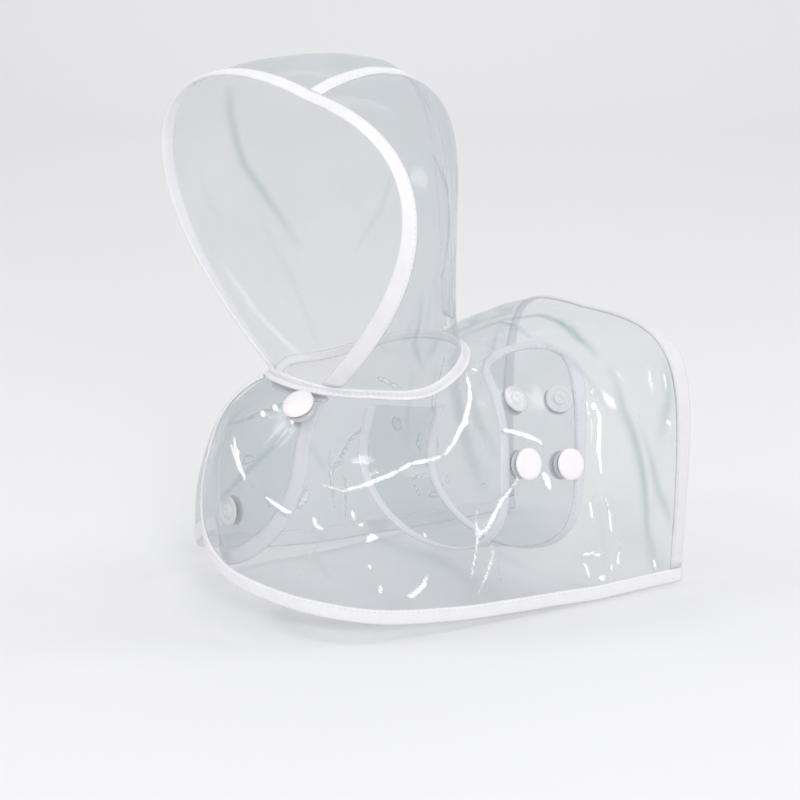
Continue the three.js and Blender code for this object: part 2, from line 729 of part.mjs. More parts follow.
// thicker says how much further the piece below reaches, where it is the binding.
function fastened(name, place, depth, thicker = 0) {
  add(name + "_cap", turned(CAP, place, COVER + GAP / 3), SNAP_LOOK);
  add(name + "_pair", turned(PAIR, place, -depth / 2 - SNAP.pairHeight / 2), SNAP_LOOK);
  add(name + "_back", turned(BACK, place, -depth + BEHIND - thicker), SNAP_LOOK);
}

function unfastened(name, place, depth) {
  add(name + "_half", turned(DISC, place, -depth + COVER + 2 * GAP), SNAP_LOOK);
  add(name + "_back", turned(BACK, place, -depth + BEHIND), SNAP_LOOK);
}

const under = nearestOn(capeRight, CHEST.point, 0.5, 0.16);
fastened("snap_chest_upper", CHEST, CHEST.point.distanceTo(under.point), 0.7);
const lower = nearestOn(capeRight, LOWER.point, 0.7, 0.76);
unfastened("snap_chest_lower", lower, 0);
fastened("snap_strap_front", STRAP_FRONT, STRAP.inside);
fastened("snap_strap_rear", STRAP_REAR, STRAP.inside);
unfastened("snap_free_front", FREE_FRONT, STRAP.inside);
unfastened("snap_free_rear", FREE_REAR, STRAP.inside);

export default root;
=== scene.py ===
"""A dog's raincoat of clear film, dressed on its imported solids.

The pieces are worked out in millimetres, in the frame of the solids, and put into Blender in metres.
The front of the coat faces -Y, its left side +X, and the origin is on the neck seam, at the nape.
"""

import json

import bpy
import numpy as np
from mathutils import Matrix, Vector

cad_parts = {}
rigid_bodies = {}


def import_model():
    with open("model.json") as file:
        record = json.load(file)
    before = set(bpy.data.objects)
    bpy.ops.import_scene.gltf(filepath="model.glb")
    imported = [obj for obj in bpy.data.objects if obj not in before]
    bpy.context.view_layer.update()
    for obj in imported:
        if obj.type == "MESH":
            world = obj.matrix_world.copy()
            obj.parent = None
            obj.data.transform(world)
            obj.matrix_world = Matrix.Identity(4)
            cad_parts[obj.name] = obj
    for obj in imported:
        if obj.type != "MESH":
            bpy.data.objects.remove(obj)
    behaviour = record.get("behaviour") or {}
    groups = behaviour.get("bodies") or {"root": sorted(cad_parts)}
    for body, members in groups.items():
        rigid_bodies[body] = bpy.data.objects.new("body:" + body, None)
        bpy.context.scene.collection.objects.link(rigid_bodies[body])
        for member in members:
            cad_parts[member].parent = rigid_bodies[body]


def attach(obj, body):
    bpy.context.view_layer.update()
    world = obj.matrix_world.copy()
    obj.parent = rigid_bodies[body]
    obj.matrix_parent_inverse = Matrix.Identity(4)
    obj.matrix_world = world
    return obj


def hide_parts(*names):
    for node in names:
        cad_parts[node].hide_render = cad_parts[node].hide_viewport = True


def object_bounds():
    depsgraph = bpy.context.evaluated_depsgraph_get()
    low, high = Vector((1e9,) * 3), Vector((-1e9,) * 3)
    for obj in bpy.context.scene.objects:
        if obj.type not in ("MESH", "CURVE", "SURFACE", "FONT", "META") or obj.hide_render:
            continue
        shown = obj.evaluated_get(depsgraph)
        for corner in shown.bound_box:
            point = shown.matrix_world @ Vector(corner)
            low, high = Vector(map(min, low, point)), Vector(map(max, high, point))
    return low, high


bl_info = {
    "name": "Clear raincoat for a small dog",
    "version": (1, 0, 0),
    "blender": (4, 5, 0),
    "location": "3D View > Sidebar > Raincoat",
    "description": "Builds the film panels, bindings, stitches and press studs of a hooded raincoat",
    "category": "Object",
}

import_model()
CAD_BOX = [list(corner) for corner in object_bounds()]
RADIANS = np.pi / 180


# Tables of the cut, with the same values as the solids


def table(columns, rows):
    """A table as a dictionary of columns."""
    return {name: np.array(column, float) for name, column in zip(columns.split(), zip(*rows))}


NECK_MIDDLE, NECK_ACROSS, NECK_ALONG = -45.0, 44.0, 45.0
TUCK_INWARD, TUCK_DOWN = 3.0, 4.6  # how far the right front lies inside the left one
SEAT = table("s z", [
    (0, -8), (30, -9), (60, -10), (95, -12), (122, -7), (150, -1.7), (168, -0.4), (180, 0),
])
RIBS = "s ring spine rise hx hy hz lead drop hang tuck"
REAR_RIBS = [
    (4, 98, 0, 0, 66, -42, -114, 18, 2, 60, 0),
    (5, 132, 0, 0, 68, -8, -116, 24, -1, 66, 0),
    (6, 162, 0, 0, 69, 18, -117, 36, -5, 76, 0),
    (7, 180, 0, 0, 70, 38, -118, 46, -8, 88, 0),
    (8, 180, 22, 6, 70, 52, -118, 54, -4, 100, 0),
    (9, 180, 55, 9.5, 70, 72, -118, 64, -2, 110, 0),
    (10, 180, 88, 7.5, 70, 91, -118, 80, -1, 118, 0),
]
LEFT = table(RIBS, [
    (0, -29, 0, 0, -50, -107, -91, 20, 8, 50, 0),
    (1, 0, 0, 0, -6, -125, -95, 22, 8, 50, 0),
    (2, 30, 0, 0, 34, -111, -103, 24, 8, 52, 0),
    (3, 62, 0, 0, 58, -80, -110, 20, 6, 55, 0),
    *REAR_RIBS,
])
RIGHT = table(RIBS, [
    (0, -34, 0, 0, -42, -105, -105, 24, 8, 52, 1),
    (1, 0, 0, 0, -2, -124, -96, 22, 8, 50, 1),
    (2, 29, 0, 0, 50, -107, -91, 20, 8, 50, 1),
    (2.6, 48, 0, 0, 67.5, -105, -104, 20, 7, 52, 0.6),
    (3, 62, 0, 0, 69, -86, -109, 20, 6, 55, 0.25),
    *REAR_RIBS,
])
CORNER_S, CORNER_V = 1.5, 0.55  # how much of s and v the round corner of the front takes
NAPE, TAIL, CREST = 7.0, 10.0, 5.0  # s at the nape's rib, at the rear edge, and where a panel's crown ends
NEAR_NAPE = 4.9  # s of the last rib of a hood panel that still has a width
HEM_FLARE = 6.0
PANEL = "s ring side back up lead fore rise out ahead lift"
HOOD_LEFT = table(PANEL, [
    (0, 29, -3, 0, 42, 87, -10, 0, 66, -24, 77),
    (1, 60, -4, 24, 49, 80, -6, 2, 52, -14, 68),
    (2, 90, -4, 52, 51, 60, -2, 3, 12, -6, 60),
    (3, 120, -1, 76, 43, 42, 0, 2, -14, -4, 50),
    (4, 148, 10, 89, 6, 20, -2, 0, -16, -4, 30),
    (5, 177.5, 28.7, 91, -70, 6, 0, 0, 0, 0, 4),
])
HOOD_RIGHT = table(PANEL, [
    (0, 36, -3, 0, 42, 88, -10, 18, 114, -24, 80),
    (1, 64, -4, 24, 49, 84, -6, 20, 90, -14, 72),
    (2, 92, -4, 52, 51, 66, 4, 24, 30, -6, 60),
    (3, 122, -1, 76, 43, 48, 10, 20, -2, -2, 50),
    (4, 150, 10, 89, 6, 26, 4, 4, -6, -4, 30),
    (5, 177.5, 28.7, 91, -70, 6, 0, 0, 0, 0, 4),
])
HOOD_MIDDLE = np.array([15.7, -90.4, 78.0])
HOOD_YAW, HOOD_ROLL = 19 * RADIANS, 11 * RADIANS
# The strap: its length on the left flank, half of its width, the width of its binding, the depth of its
# round end, how far inside the film it lies, how far it sags under the belly and which share of its flank
# length is sewn to the right flank, then the rib and the share down it where it leaves the left flank, and
# its lean in degrees
STRAP = {"long": 84.0, "half": 24.0, "tape": 5.5, "round": 26.0, "inside": 4.6, "belly": 52.0, "rise": 0.2,
         "rib": 5.75, "down": 0.72, "lean": 9.0}
FOLD = "s0 v0 s1 v1 wide high"
FOLDS_LEFT = table(FOLD, [
    (0.2, 0.62, 1.6, 0.3, 0.3, -2.0),
    (1.2, 0.48, 3.6, 0.44, 0.35, 1.8),
    (4.1, 0.12, 5.0, 0.42, 0.3, 2.6),
    (4.9, 0.7, 4.4, 0.94, 0.28, 2.2),
    (8.1, 0.35, 8.4, 0.85, 0.3, 2.0),
    (9.2, 0.3, 8.9, 0.9, 0.25, -2.2),
])
FOLDS_RIGHT = table(FOLD, [
    (1.6, 0.45, 3.4, 0.5, 0.35, 1.8),
    (4.2, 0.12, 5.2, 0.45, 0.3, 2.4),
    (5.6, 0.5, 5.0, 0.88, 0.28, 2.2),
    (7.6, 0.35, 7.9, 0.85, 0.3, 2.0),
    (9.1, 0.35, 8.8, 0.85, 0.25, -2.0),
])


# Surfaces


def alike(a, b):
    """Two values or arrays as arrays of one shape."""
    return np.broadcast_arrays(np.asarray(a, float), np.asarray(b, float))


def dot(a, b):
    """The scalar products of arrays of directions."""
    return (a * b).sum(-1)


def unit(p):
    """Directions of length 1."""
    return p / np.maximum(np.linalg.norm(p, axis=-1, keepdims=True), 1e-12)


def square_to(one, other):
    """The part of one direction that is square to another: one - other (one . other) / (other . other)."""
    return one - other * (dot(one, other) / dot(other, other))[..., None]


def share_of(ds, dv, to):
    """The steps in s and v that together lead along a direction: the two equations of its products with
    ds and dv, solved."""
    a, b, c = dot(ds, ds), dot(ds, dv), dot(dv, dv)
    x, y = dot(to, ds), dot(to, dv)
    return (c * x - b * y) / (a * c - b * b), (a * y - b * x) / (a * c - b * b)


def along(rows, key, s):
    """A cubic curve through a column: each end of a stretch has the mean slope of its two sides, weighted
    by the other side's length, and the steady columns stand still where they turn."""
    x, y = rows["s"], rows[key]
    slope = np.diff(y) / np.diff(x)
    step = np.diff(x)
    tangent = np.empty_like(y)
    tangent[0], tangent[-1] = slope[0], slope[-1]
    tangent[1:-1] = (slope[:-1] * step[1:] + slope[1:] * step[:-1]) / (step[:-1] + step[1:])
    if key in ("ring", "spine", "rise"):
        tangent[1:-1][slope[:-1] * slope[1:] <= 0] = 0
    s = np.asarray(s, float)
    k = np.clip(np.searchsorted(x, s, side="right") - 1, 0, len(x) - 2)
    t = (s - x[k]) / step[k]
    start = y[k] * (1 + 2 * t) * (1 - t) ** 2
    end = y[k + 1] * t * t * (3 - 2 * t)
    return start + end + step[k] * (tangent[k] * t * (1 - t) ** 2 + tangent[k + 1] * t * t * (t - 1))


def smooth(x, low, high):
    """From 0 at low to 1 at high, as t t (3 - 2 t)."""
    t = np.clip((x - low) / (high - low), 0, 1)
    return t * t * (3 - 2 * t)


def calm(v, low, high):
    """0 at both ends of v and 1 between, so that folds and creases fade there."""
    return smooth(v, low, high) * smooth(1 - v, low, high)


def bezier(p0, p1, p2, p3, t):
    """A cubic Bezier curve from p0 to p3."""
    t = np.asarray(t)[..., None]
    return p0 * (1 - t) ** 3 + 3 * p1 * t * (1 - t) ** 2 + 3 * p2 * t * t * (1 - t) + p3 * t**3


def neck_point(degrees, tuck=0.0):
    """A point of the neck seam: an ellipse in plan, with its height from the seat table."""
    degrees = np.asarray(degrees, float)
    t = degrees * RADIANS
    folded = np.abs((degrees + 540) % 360 - 180)
    x = (NECK_ACROSS - TUCK_INWARD * tuck) * np.sin(t)
    y = NECK_MIDDLE - (NECK_ALONG - TUCK_INWARD * tuck) * np.cos(t)
    return np.stack([x, y, along(SEAT, "z", folded) - TUCK_DOWN * tuck], -1)


def cape_smooth(rows, side, s, v):
    """The cape: at each s a Bezier curve from the neck seam or the spine to the hem, which leaves the top
    outward by lead and comes down to the hem from hang above it."""
    s, v = alike(s, v)
    col = {k: along(rows, k, s) for k in RIBS.split()[1:]}
    tuck, back = np.maximum(0, col["tuck"]), s > NAPE
    top = neck_point(np.where(back, 180.0, col["ring"]), tuck)
    top = top + np.stack([0 * s, np.where(back, col["spine"], 0), np.where(back, col["rise"], 0)], -1)
    hem = np.stack([col["hx"], col["hy"], col["hz"]], -1)
    out = unit((hem - top) * (1, 1, 0))
    hem = hem - out * (TUCK_DOWN * tuck)[..., None]
    up = np.array([0, 0, 1.0])
    p1 = top + out * col["lead"][..., None] - up * col["drop"][..., None]
    p2 = hem + out * HEM_FLARE + up * col["hang"][..., None]
    return bezier(top, p1, p2, hem, v) * (side, 1, 1)


def frame_at(surface, s, v):
    """The two directions of a surface by central differences, and its normal dv x ds."""
    e = 1e-3
    ds = (surface(s + e, v) - surface(s - e, v)) / (2 * e)
    dv = (surface(s, v + e) - surface(s, v - e)) / (2 * e)
    return ds, dv, unit(np.cross(dv, ds))


def fold_height(folds, s, v):
    """The height of the large folds: a bell over the distance from each fold's line, with v drawn out to
    ribs' lengths, which sinks towards the ends of the line as a sine."""
    high, drawn = 0.0, 3
    for s0, v0, s1, v1, wide, top in zip(*(folds[k] for k in FOLD.split())):
        a, b = s1 - s0, (v1 - v0) * drawn
        x, y = s - s0, (v - v0) * drawn
        t = np.clip((x * a + y * b) / (a * a + b * b), 0, 1)
        away = (x - t * a) ** 2 + (y - t * b) ** 2
        high = high + top * np.exp(-away / wide**2) * np.sin(np.pi * (0.15 + 0.7 * t))
    return high


def cape_of(rows, folds, side):
    """The cape with its large folds, which fade towards the neck and the hem."""

    def plain(s, v):
        return cape_smooth(rows, side, s, v)

    def surface(s, v):
        s, v = alike(s, v)
        level = smooth(v, 0.02, 0.16) * smooth(1 - v, 0.02, 0.14)
        normal = frame_at(plain, s, v)[2]
        return plain(s, v) + normal * (side * level * fold_height(folds, s, v))[..., None]

    return surface


def turn_of_hood():
    """The turn about the upright axis by the yaw, after one about the Y axis by the roll."""
    cy, sy, cr, sr = np.cos(HOOD_YAW), np.sin(HOOD_YAW), np.cos(HOOD_ROLL), np.sin(HOOD_ROLL)
    yaw = np.array([[cy, -sy, 0], [sy, cy, 0], [0, 0, 1]])
    roll = np.array([[cr, 0, sr], [0, 1, 0], [-sr, 0, cr]])
    return yaw @ roll


HOOD_TURN = turn_of_hood()


def section_at(rows, ring):
    """The rib whose top is at an angle of the neck seam, by halving."""
    ring = np.asarray(ring, float)
    low, high = np.zeros_like(ring), np.full_like(ring, NAPE)
    for _ in range(40):
        middle = (low + high) / 2
        below = along(rows, "ring", middle) < ring
        low, high = np.where(below, middle, low), np.where(below, high, middle)
    return low


def hood_of(rows, side):
    """A hood panel: at each s a Bezier curve from the crown seam, worked out in the turned hood's own
    frame, out to the side and down to the neck seam."""

    def surface(s, v):
        s, v = alike(s, v)
        col = {k: along(rows, k, s) for k in PANEL.split()[1:]}
        crown = np.stack([col["side"], col["back"], col["up"]], -1)
        p1 = crown + np.stack([side * col["lead"], col["fore"], col["rise"]], -1)
        tuck = 0.0 if side > 0 else np.maximum(0, along(RIGHT, "tuck", section_at(RIGHT, col["ring"])))
        base = (neck_point(col["ring"], tuck) * (side, 1, 1) - HOOD_MIDDLE) @ HOOD_TURN
        p2 = base + np.stack([side * col["out"], col["ahead"], col["lift"]], -1)
        return bezier(crown, p1, p2, base, v) @ HOOD_TURN.T + HOOD_MIDDLE

    return surface


cape_left = cape_of(LEFT, FOLDS_LEFT, 1)
cape_right = cape_of(RIGHT, FOLDS_RIGHT, -1)
hood_left = hood_of(HOOD_LEFT, 1)
hood_right = hood_of(HOOD_RIGHT, -1)


def walk(surface, s, v, way, distance, stride=4.0):
    """Straight over a surface from (s, v): each step is laid in the tangent plane and the direction is
    carried along. Works on arrays of starts."""
    s, v = np.array(s, float), np.array(v, float)
    distance = np.asarray(distance, float)
    steps = max(1, int(np.ceil(np.max(np.abs(distance)) / stride)))
    for _ in range(steps):
        ds, dv, normal = frame_at(surface, s, v)
        way = unit(way - normal * dot(way, normal)[..., None])
        more_s, more_v = share_of(ds, dv, way)
        s = s + more_s * distance / steps
        v = v + more_v * distance / steps
    return s, v, way


def height_of(surface, s, v):
    """Millimetres for a step of 1 in v, square to the lines of equal v."""
    ds, dv, _ = frame_at(surface, s, v)
    return np.linalg.norm(square_to(dv, ds), axis=-1)


def width_of(surface, s, v):
    """Millimetres for a step of 1 in s, square to the lines of equal s."""
    ds, dv, _ = frame_at(surface, s, v)
    return np.linalg.norm(square_to(ds, dv), axis=-1)


def level_in(surface, s, end, distance, steps=8):
    """The v that lies a distance inside v = 0 or v = 1, marched in even steps."""
    v = np.full_like(np.asarray(s, float), end)
    for _ in range(steps):
        v = v + (-1 if end else 1) * distance / steps / height_of(surface, s, v)
    return v


def from_neck(p):
    """How far points are from the neck seam: the distance in plan, along the ray from its middle, and the
    difference in height, squared and added."""
    x, y = p[..., 0] / NECK_ACROSS, (p[..., 1] - NECK_MIDDLE) / NECK_ALONG
    angle = np.abs(np.arctan2(x, -y)) / RADIANS
    plan = (1 - 1 / np.hypot(x, y)) * np.hypot(p[..., 0], p[..., 1] - NECK_MIDDLE)
    return np.hypot(plan, p[..., 2] - along(SEAT, "z", angle))


def cape_top(surface, s, away):
    """The v at which the cape is a distance below the neck seam: behind the neck, the first of a fine run
    of levels that is far enough from the seam."""
    s = np.asarray(s, float)
    level = level_in(surface, s, 0.0, away)
    v = np.linspace(0, 0.4, 401)
    far = from_neck(surface(s[..., None], v)) >= away
    behind = v[np.argmax(far, axis=-1)]
    return np.where(s < CREST, level, behind)


def front_edge(count):
    """The front edge and its round corner, a quarter of an ellipse in s and v."""
    straight = np.linspace(0.0, 1 - CORNER_V, count + 1)[:-1]
    t = np.linspace(0, np.pi / 2, count + 1)
    s = np.concatenate([0 * straight, CORNER_S * (1 - np.cos(t))])
    v = np.concatenate([straight, 1 - CORNER_V + CORNER_V * np.sin(t)])
    return s, v


def strip(surface, s, v, width, count):
    """Rows of points beside a line on a surface, from the line to a width inside it, towards higher s
    where the line runs down. On the front edge a row near the neck keeps its level."""
    run = np.gradient(surface(s, v), axis=0)
    way = np.cross(frame_at(surface, s, v)[2], unit(run))
    level = smooth(v, 0, 1 - CORNER_V)
    rows = [(s, v)]
    a, b = s.copy(), v.copy()
    for i in range(count):
        a, b, way = walk(surface, a, b, way, np.full(len(s), width / count), width / count)
        flat = (i + 1) * width / count / width_of(surface, s, v)
        own_a = np.where(s > 0, a, flat + level * (a - flat))
        own_b = np.where(s > 0, b, v + level * (b - v))
        rows.append((own_a, own_b))
    return np.array([row[0] for row in rows]).T, np.array([row[1] for row in rows]).T


TAPE_WIDTH = 7.5
SEAM = TAPE_WIDTH / 2
ACROSS = 13  # points across a binding
IN_TAPE = 3.0  # how far inside a bound edge the film ends
IN_SEAM = 1.2  # how far from a seam it ends


def cape_grid(surface, rows, columns=(168, 80)):
    """The s and v of half of the cape's film: rows from the neck to the hem, columns from the front edge
    to the rear one. Each row starts where the inset front edge crosses its share of the height."""
    spine_s = np.linspace(NAPE, NAPE + 1, 401)
    spine = float(np.interp(IN_SEAM + 1, along(LEFT, "spine", spine_s), spine_s))

    ribs = np.linspace(0, TAIL, 401)
    lows = level_in(surface, ribs, 1.0, IN_TAPE)
    highs = np.where(ribs > spine, 0, cape_top(surface, ribs, IN_SEAM + 1))

    def bottom(s):
        return np.interp(s, ribs, lows)

    def top(s):
        return np.where(s > spine - 1e-6, 0, np.interp(s, ribs, highs))

    edge_s, edge_v = strip(surface, *front_edge(24), IN_TAPE, 2)
    edge_s, edge_v = edge_s[:, -1], edge_v[:, -1]
    share = (edge_v - top(edge_s)) / (bottom(edge_s) - top(edge_s))
    keep = (share > 0.02) & (share < 0.985)
    first = IN_TAPE / width_of(surface, np.zeros(1), np.zeros(1))[0]
    at = np.linspace(0, 1, rows)
    start = np.interp(at, [0, *share[keep], 1], [first, *edge_s[keep], CORNER_S])
    end = TAIL - IN_TAPE / width_of(surface, np.full(rows, TAIL), at)
    t, u = (np.linspace(0, 1, count) for count in columns)
    front = start[:, None] + (NAPE - start[:, None]) * t
    rear = spine + (end[:, None] - spine) * u
    s = np.hstack([front, np.full((rows, 1), (NAPE + spine) / 2), rear])
    return s, top(s) + at[:, None] * (bottom(s) - top(s))


def hood_grid(surface, rows=110, columns=130):
    """The s and v of a hood panel's film, from the crown seam to the neck and from its opening to the
    nape."""
    last = CREST - 0.03
    share = np.linspace(0, 1, rows)[:, None]
    start = IN_TAPE / width_of(surface, np.zeros(rows), share[:, 0])
    s = start[:, None] + (last - start[:, None]) * np.linspace(0, 1, columns)
    ribs = np.linspace(0, last, 301)
    high = level_in(surface, ribs, 0.0, IN_SEAM)
    low = np.maximum(level_in(surface, ribs, 1.0, IN_SEAM), high + 0.02)
    high, low = np.interp(s, ribs, high), np.interp(s, ribs, low)
    return s, high + share * (low - high)


def rise_at(degrees):
    """Which way the hood rises from the neck seam, at degrees from the front towards the left: as its
    nearest rib does, forward of the panels up and a little outward, and at the nape as both panels do."""

    def off(surface, s):
        return unit(surface(s, np.full_like(s, 0.97)) - surface(s, np.ones_like(s)))

    left = degrees < 180
    ring = np.where(left, degrees, 360 - degrees)
    fine = np.linspace(0, CREST, 1001)
    own = []
    for surface, rows in ((hood_left, HOOD_LEFT), (hood_right, HOOD_RIGHT)):
        s = np.minimum(np.interp(ring, along(rows, "ring", fine), fine), NEAR_NAPE)
        own.append(off(surface, s))
    own = np.where(left[:, None], own[0], own[1])
    start = np.where(left, HOOD_LEFT["ring"][0], HOOD_RIGHT["ring"][0])
    back = unit(off(hood_left, np.array([NEAR_NAPE])) + off(hood_right, np.array([NEAR_NAPE])))
    t = degrees * RADIANS
    front = np.stack([0.3 * np.sin(t), -0.3 * np.cos(t), 0.95 + 0 * t], -1)
    forward = smooth(start - ring, 0, 22)[:, None]
    rear = smooth(ring, 175, 180)[:, None]
    own = own + (front - own) * forward
    return unit(own + (back - own) * rear)


def neck_rows(surface, rows, side, degrees):
    """Points across the neck seam's binding: down the cape on one side, up the hood on the other."""
    s = np.minimum(section_at(rows, degrees), NAPE - 0.01)
    ds, dv, _ = frame_at(surface, s, 0 * s)
    fall = unit(square_to(dv, ds))
    share = smooth(degrees, 165, 180)[:, None]
    fall = unit(fall + (np.array([0, 1, 0.27]) - fall) * share)
    middle = neck_point(degrees, np.maximum(0, along(rows, "tuck", s))) * (side, 1, 1)
    rise = rise_at(degrees if side > 0 else 360 - degrees)
    u = np.linspace(-SEAM, SEAM, ACROSS)[:, None]
    return middle[:, None] + fall[:, None] * np.maximum(-u, 0) + rise[:, None] * np.maximum(u, 0)


# The strap and the places of the studs


def place_over_strap(surface, across, b):
    """The s and v on a flank over a point of the strap: across its middle line, and b down it."""
    across, b = alike(across, b)
    lean = STRAP["lean"] * RADIANS
    way = np.broadcast_to([0, np.sin(lean), np.cos(lean)], (*b.shape, 3))
    start = np.full(b.shape, STRAP["rib"]), np.full(b.shape, STRAP["down"])
    s, v, way = walk(surface, *start, way, (1 - b) * STRAP["long"])
    normal = frame_at(surface, s, v)[2]
    s, v, _ = walk(surface, s, v, -np.cross(way, normal), across)
    return s, v


def on_flank(surface, across, b):
    """A point of the strap's middle surface on a flank, at its distance inside the film."""
    s, v = place_over_strap(surface, across, b)
    normal = frame_at(surface, s, v)[2]
    return surface(s, v) - normal * STRAP["inside"] * (1 if surface is cape_left else -1)


def strap_point(across, b):
    """The strap's middle surface: down the left flank, b from 0 to 1, under the belly on a Bezier curve,
    1 to 2, and up the inside of the right flank, 2 to 3."""
    across, b = alike(across, b)
    left = on_flank(cape_left, across, np.minimum(b, 1))
    right = on_flank(cape_right, across, 1 - STRAP["rise"] * np.maximum(b - 2, 0))
    ends = []
    for surface in (cape_left, cape_right):
        point = on_flank(surface, across, np.ones_like(b))
        before = on_flank(surface, across, np.full_like(b, 0.96))
        ends += [point, point + unit(point - before) * STRAP["belly"]]
    under = bezier(ends[0], ends[1], ends[3], ends[2], np.clip(b - 1, 0, 1))
    b = b[..., None]
    return np.where(b <= 1, left, np.where(b <= 2, under, right))


def strap_outline(inside):
    """Half-widths and distances down the strap, at a distance inside its edge: a superellipse, and then
    straight edges."""
    power, fine = 2 / 2.6, 3
    t = np.linspace(0, np.pi / 2, 12 * fine)
    half = (STRAP["half"] - inside) * np.sin(t) ** power
    end = (STRAP["round"] - (STRAP["round"] - inside) * np.maximum(0, np.cos(t)) ** power) / STRAP["long"]
    flank = np.linspace(STRAP["round"] / STRAP["long"], 1, 10 * fine)[1:]
    rest = np.concatenate([flank, np.linspace(1, 2, 24 * fine)[1:], np.linspace(2, 3, 4 * fine)[1:]])
    return np.append(half, np.full(len(rest), STRAP["half"] - inside)), np.append(end, rest)


def place_on(surface, s, v):
    """A point of a surface, with its normal outward."""
    s, v = np.array([float(s)]), np.array([float(v)])
    way = -1 if surface is cape_right else 1
    return {"point": surface(s, v)[0], "normal": way * frame_at(surface, s, v)[2][0]}


def nearest_on(surface, point, s, v):
    """The place of a surface nearest to a point, by Newton steps in the tangent plane."""
    s, v = np.array([s]), np.array([v])
    for _ in range(12):
        ds, dv, _ = frame_at(surface, s, v)
        more_s, more_v = share_of(ds, dv, point - surface(s, v))
        s, v = s + more_s, v + more_v
    return place_on(surface, s[0], v[0])


# Meshes


def mesh_object(name, points, faces, uv=None, layers=None):
    """An object in metres from points in millimetres and faces as lists or an array of quads."""
    mesh = bpy.data.meshes.new(name)
    faces = faces.tolist() if isinstance(faces, np.ndarray) else faces
    mesh.from_pydata((np.asarray(points) / 1000).tolist(), [], faces)
    mesh.update()
    corner = np.empty(len(mesh.loops), int)
    mesh.loops.foreach_get("vertex_index", corner)
    if uv is not None:
        layer = mesh.uv_layers.new(name="thread")
        layer.uv.foreach_set("vector", np.asarray(uv)[corner].astype(np.float32).ravel())
    for key, values in (layers or {}).items():
        layer = mesh.attributes.new(key, "FLOAT", "POINT")
        layer.data.foreach_set("value", np.asarray(values, np.float32))
    mesh.shade_smooth()
    piece = bpy.data.objects.new(name, mesh)
    bpy.context.scene.collection.objects.link(piece)
    return piece


def quads_of(rows, columns, start=0):
    """The quads of a grid of points, in rows."""
    a = (np.arange(rows - 1)[:, None] * columns + np.arange(columns - 1)).ravel() + start
    return np.stack([a, a + columns, a + columns + 1, a + 1], -1)


def ring_corners(rings, around):
    """Two corners of each quad between rings of points: its own point and the next one round the ring."""
    first, turn = np.arange(rings - 1)[:, None] * around, np.arange(around)
    return (first + turn).ravel(), (first + (turn + 1) % around).ravel()


def grid_normal(grid):
    """The normals of a grid of points: its two directions' cross product."""
    return unit(np.cross(np.gradient(grid, axis=0), np.gradient(grid, axis=1)))


def shell(name, points, quads, thickness, uv, layers):
    """A closed thin wall round a middle sheet: each point is moved along its mean normal by half of the
    thickness to both sides, and the free edges are joined."""
    a, b, c, d = (points[quads[:, i]] for i in range(4))
    face = np.cross(c - a, d - b)
    normal = np.zeros_like(points)
    for i in range(4):
        np.add.at(normal, quads[:, i], face)
    normal = unit(normal) * thickness / 2
    count = len(points)
    both = np.vstack([points + normal, points - normal])
    start = quads.ravel()
    end = np.roll(quads, -1, axis=1).ravel()
    free = ~np.isin(start * count + end, end * count + start)
    m, n = start[free], end[free]
    rim = np.stack([n, m, m + count, n + count], -1)
    faces = np.vstack([quads, quads[:, ::-1] + count, rim])
    twice = {key: np.tile(values, 2) for key, values in layers.items()}
    return mesh_object(name, both, faces, np.tile(uv, (2, 1)), twice)


def band(name, grid, half):
    """A closed flat band round a grid of middle points, stations by points across: its half-thickness
    follows a superellipse across the band, so that both edges are round."""
    rows, count = grid.shape[:2]
    normal = grid_normal(grid)
    t = np.linspace(-1, 1, count)
    high = half * np.sqrt(np.maximum(0, 1 - np.abs(t) ** 5))[:, None]
    upper, lower = grid + normal * high, grid - normal * high
    ring = np.concatenate([upper, lower[:, -2:0:-1]], axis=1)
    size = ring.shape[1]
    a, b = ring_corners(rows, size)
    faces = np.stack([a, a + size, b + size, b], -1).tolist()
    faces.append(list(range(size)))
    faces.append([(rows - 1) * size + i for i in range(size)][::-1])
    length = np.concatenate([[0], np.cumsum(np.linalg.norm(np.diff(grid[:, count // 2], axis=0), axis=1))])
    across = np.concatenate([np.linspace(0, 1, count), np.linspace(1, 0, count)[1:-1]])
    wide = np.linalg.norm(grid[0, -1] - grid[0, 0])
    uv = np.stack(np.broadcast_arrays(length[:, None], across * wide), -1).reshape(-1, 2)
    return mesh_object(name, ring.reshape(-1, 3), faces, uv)


def lathe(name, profile, place, offset, around=64):
    """A turned piece: a profile of radius and height, carried round a place's normal in even steps. The
    profile starts and ends on the axis, where the rings close in one point."""
    radius, height = np.array(profile, float).T
    normal = place["normal"]
    across = unit(np.cross(normal, [0, 0.3, 1.0]))
    other = np.cross(normal, across)
    t = np.arange(around) * 2 * np.pi / around
    wheel = across * np.cos(t)[:, None] + other * np.sin(t)[:, None]
    middle = place["point"] + normal * (height[:, None] + offset)
    rings = middle[1:-1, None] + wheel * radius[1:-1, None, None]
    count = len(radius) - 2
    points = np.vstack([rings.reshape(-1, 3), middle[:1], middle[-1:]])
    a, b = ring_corners(count, around)
    faces = np.stack([a, b, b + around, a + around], -1).tolist()
    last, turn = (count - 1) * around, np.arange(around)
    nearby = (turn + 1) % around
    foot = np.stack([np.full(around, count * around), nearby, turn], -1)
    top = np.stack([np.full(around, count * around + 1), last + turn, last + nearby], -1)
    return mesh_object(name, points, faces + foot.tolist() + top.tolist())


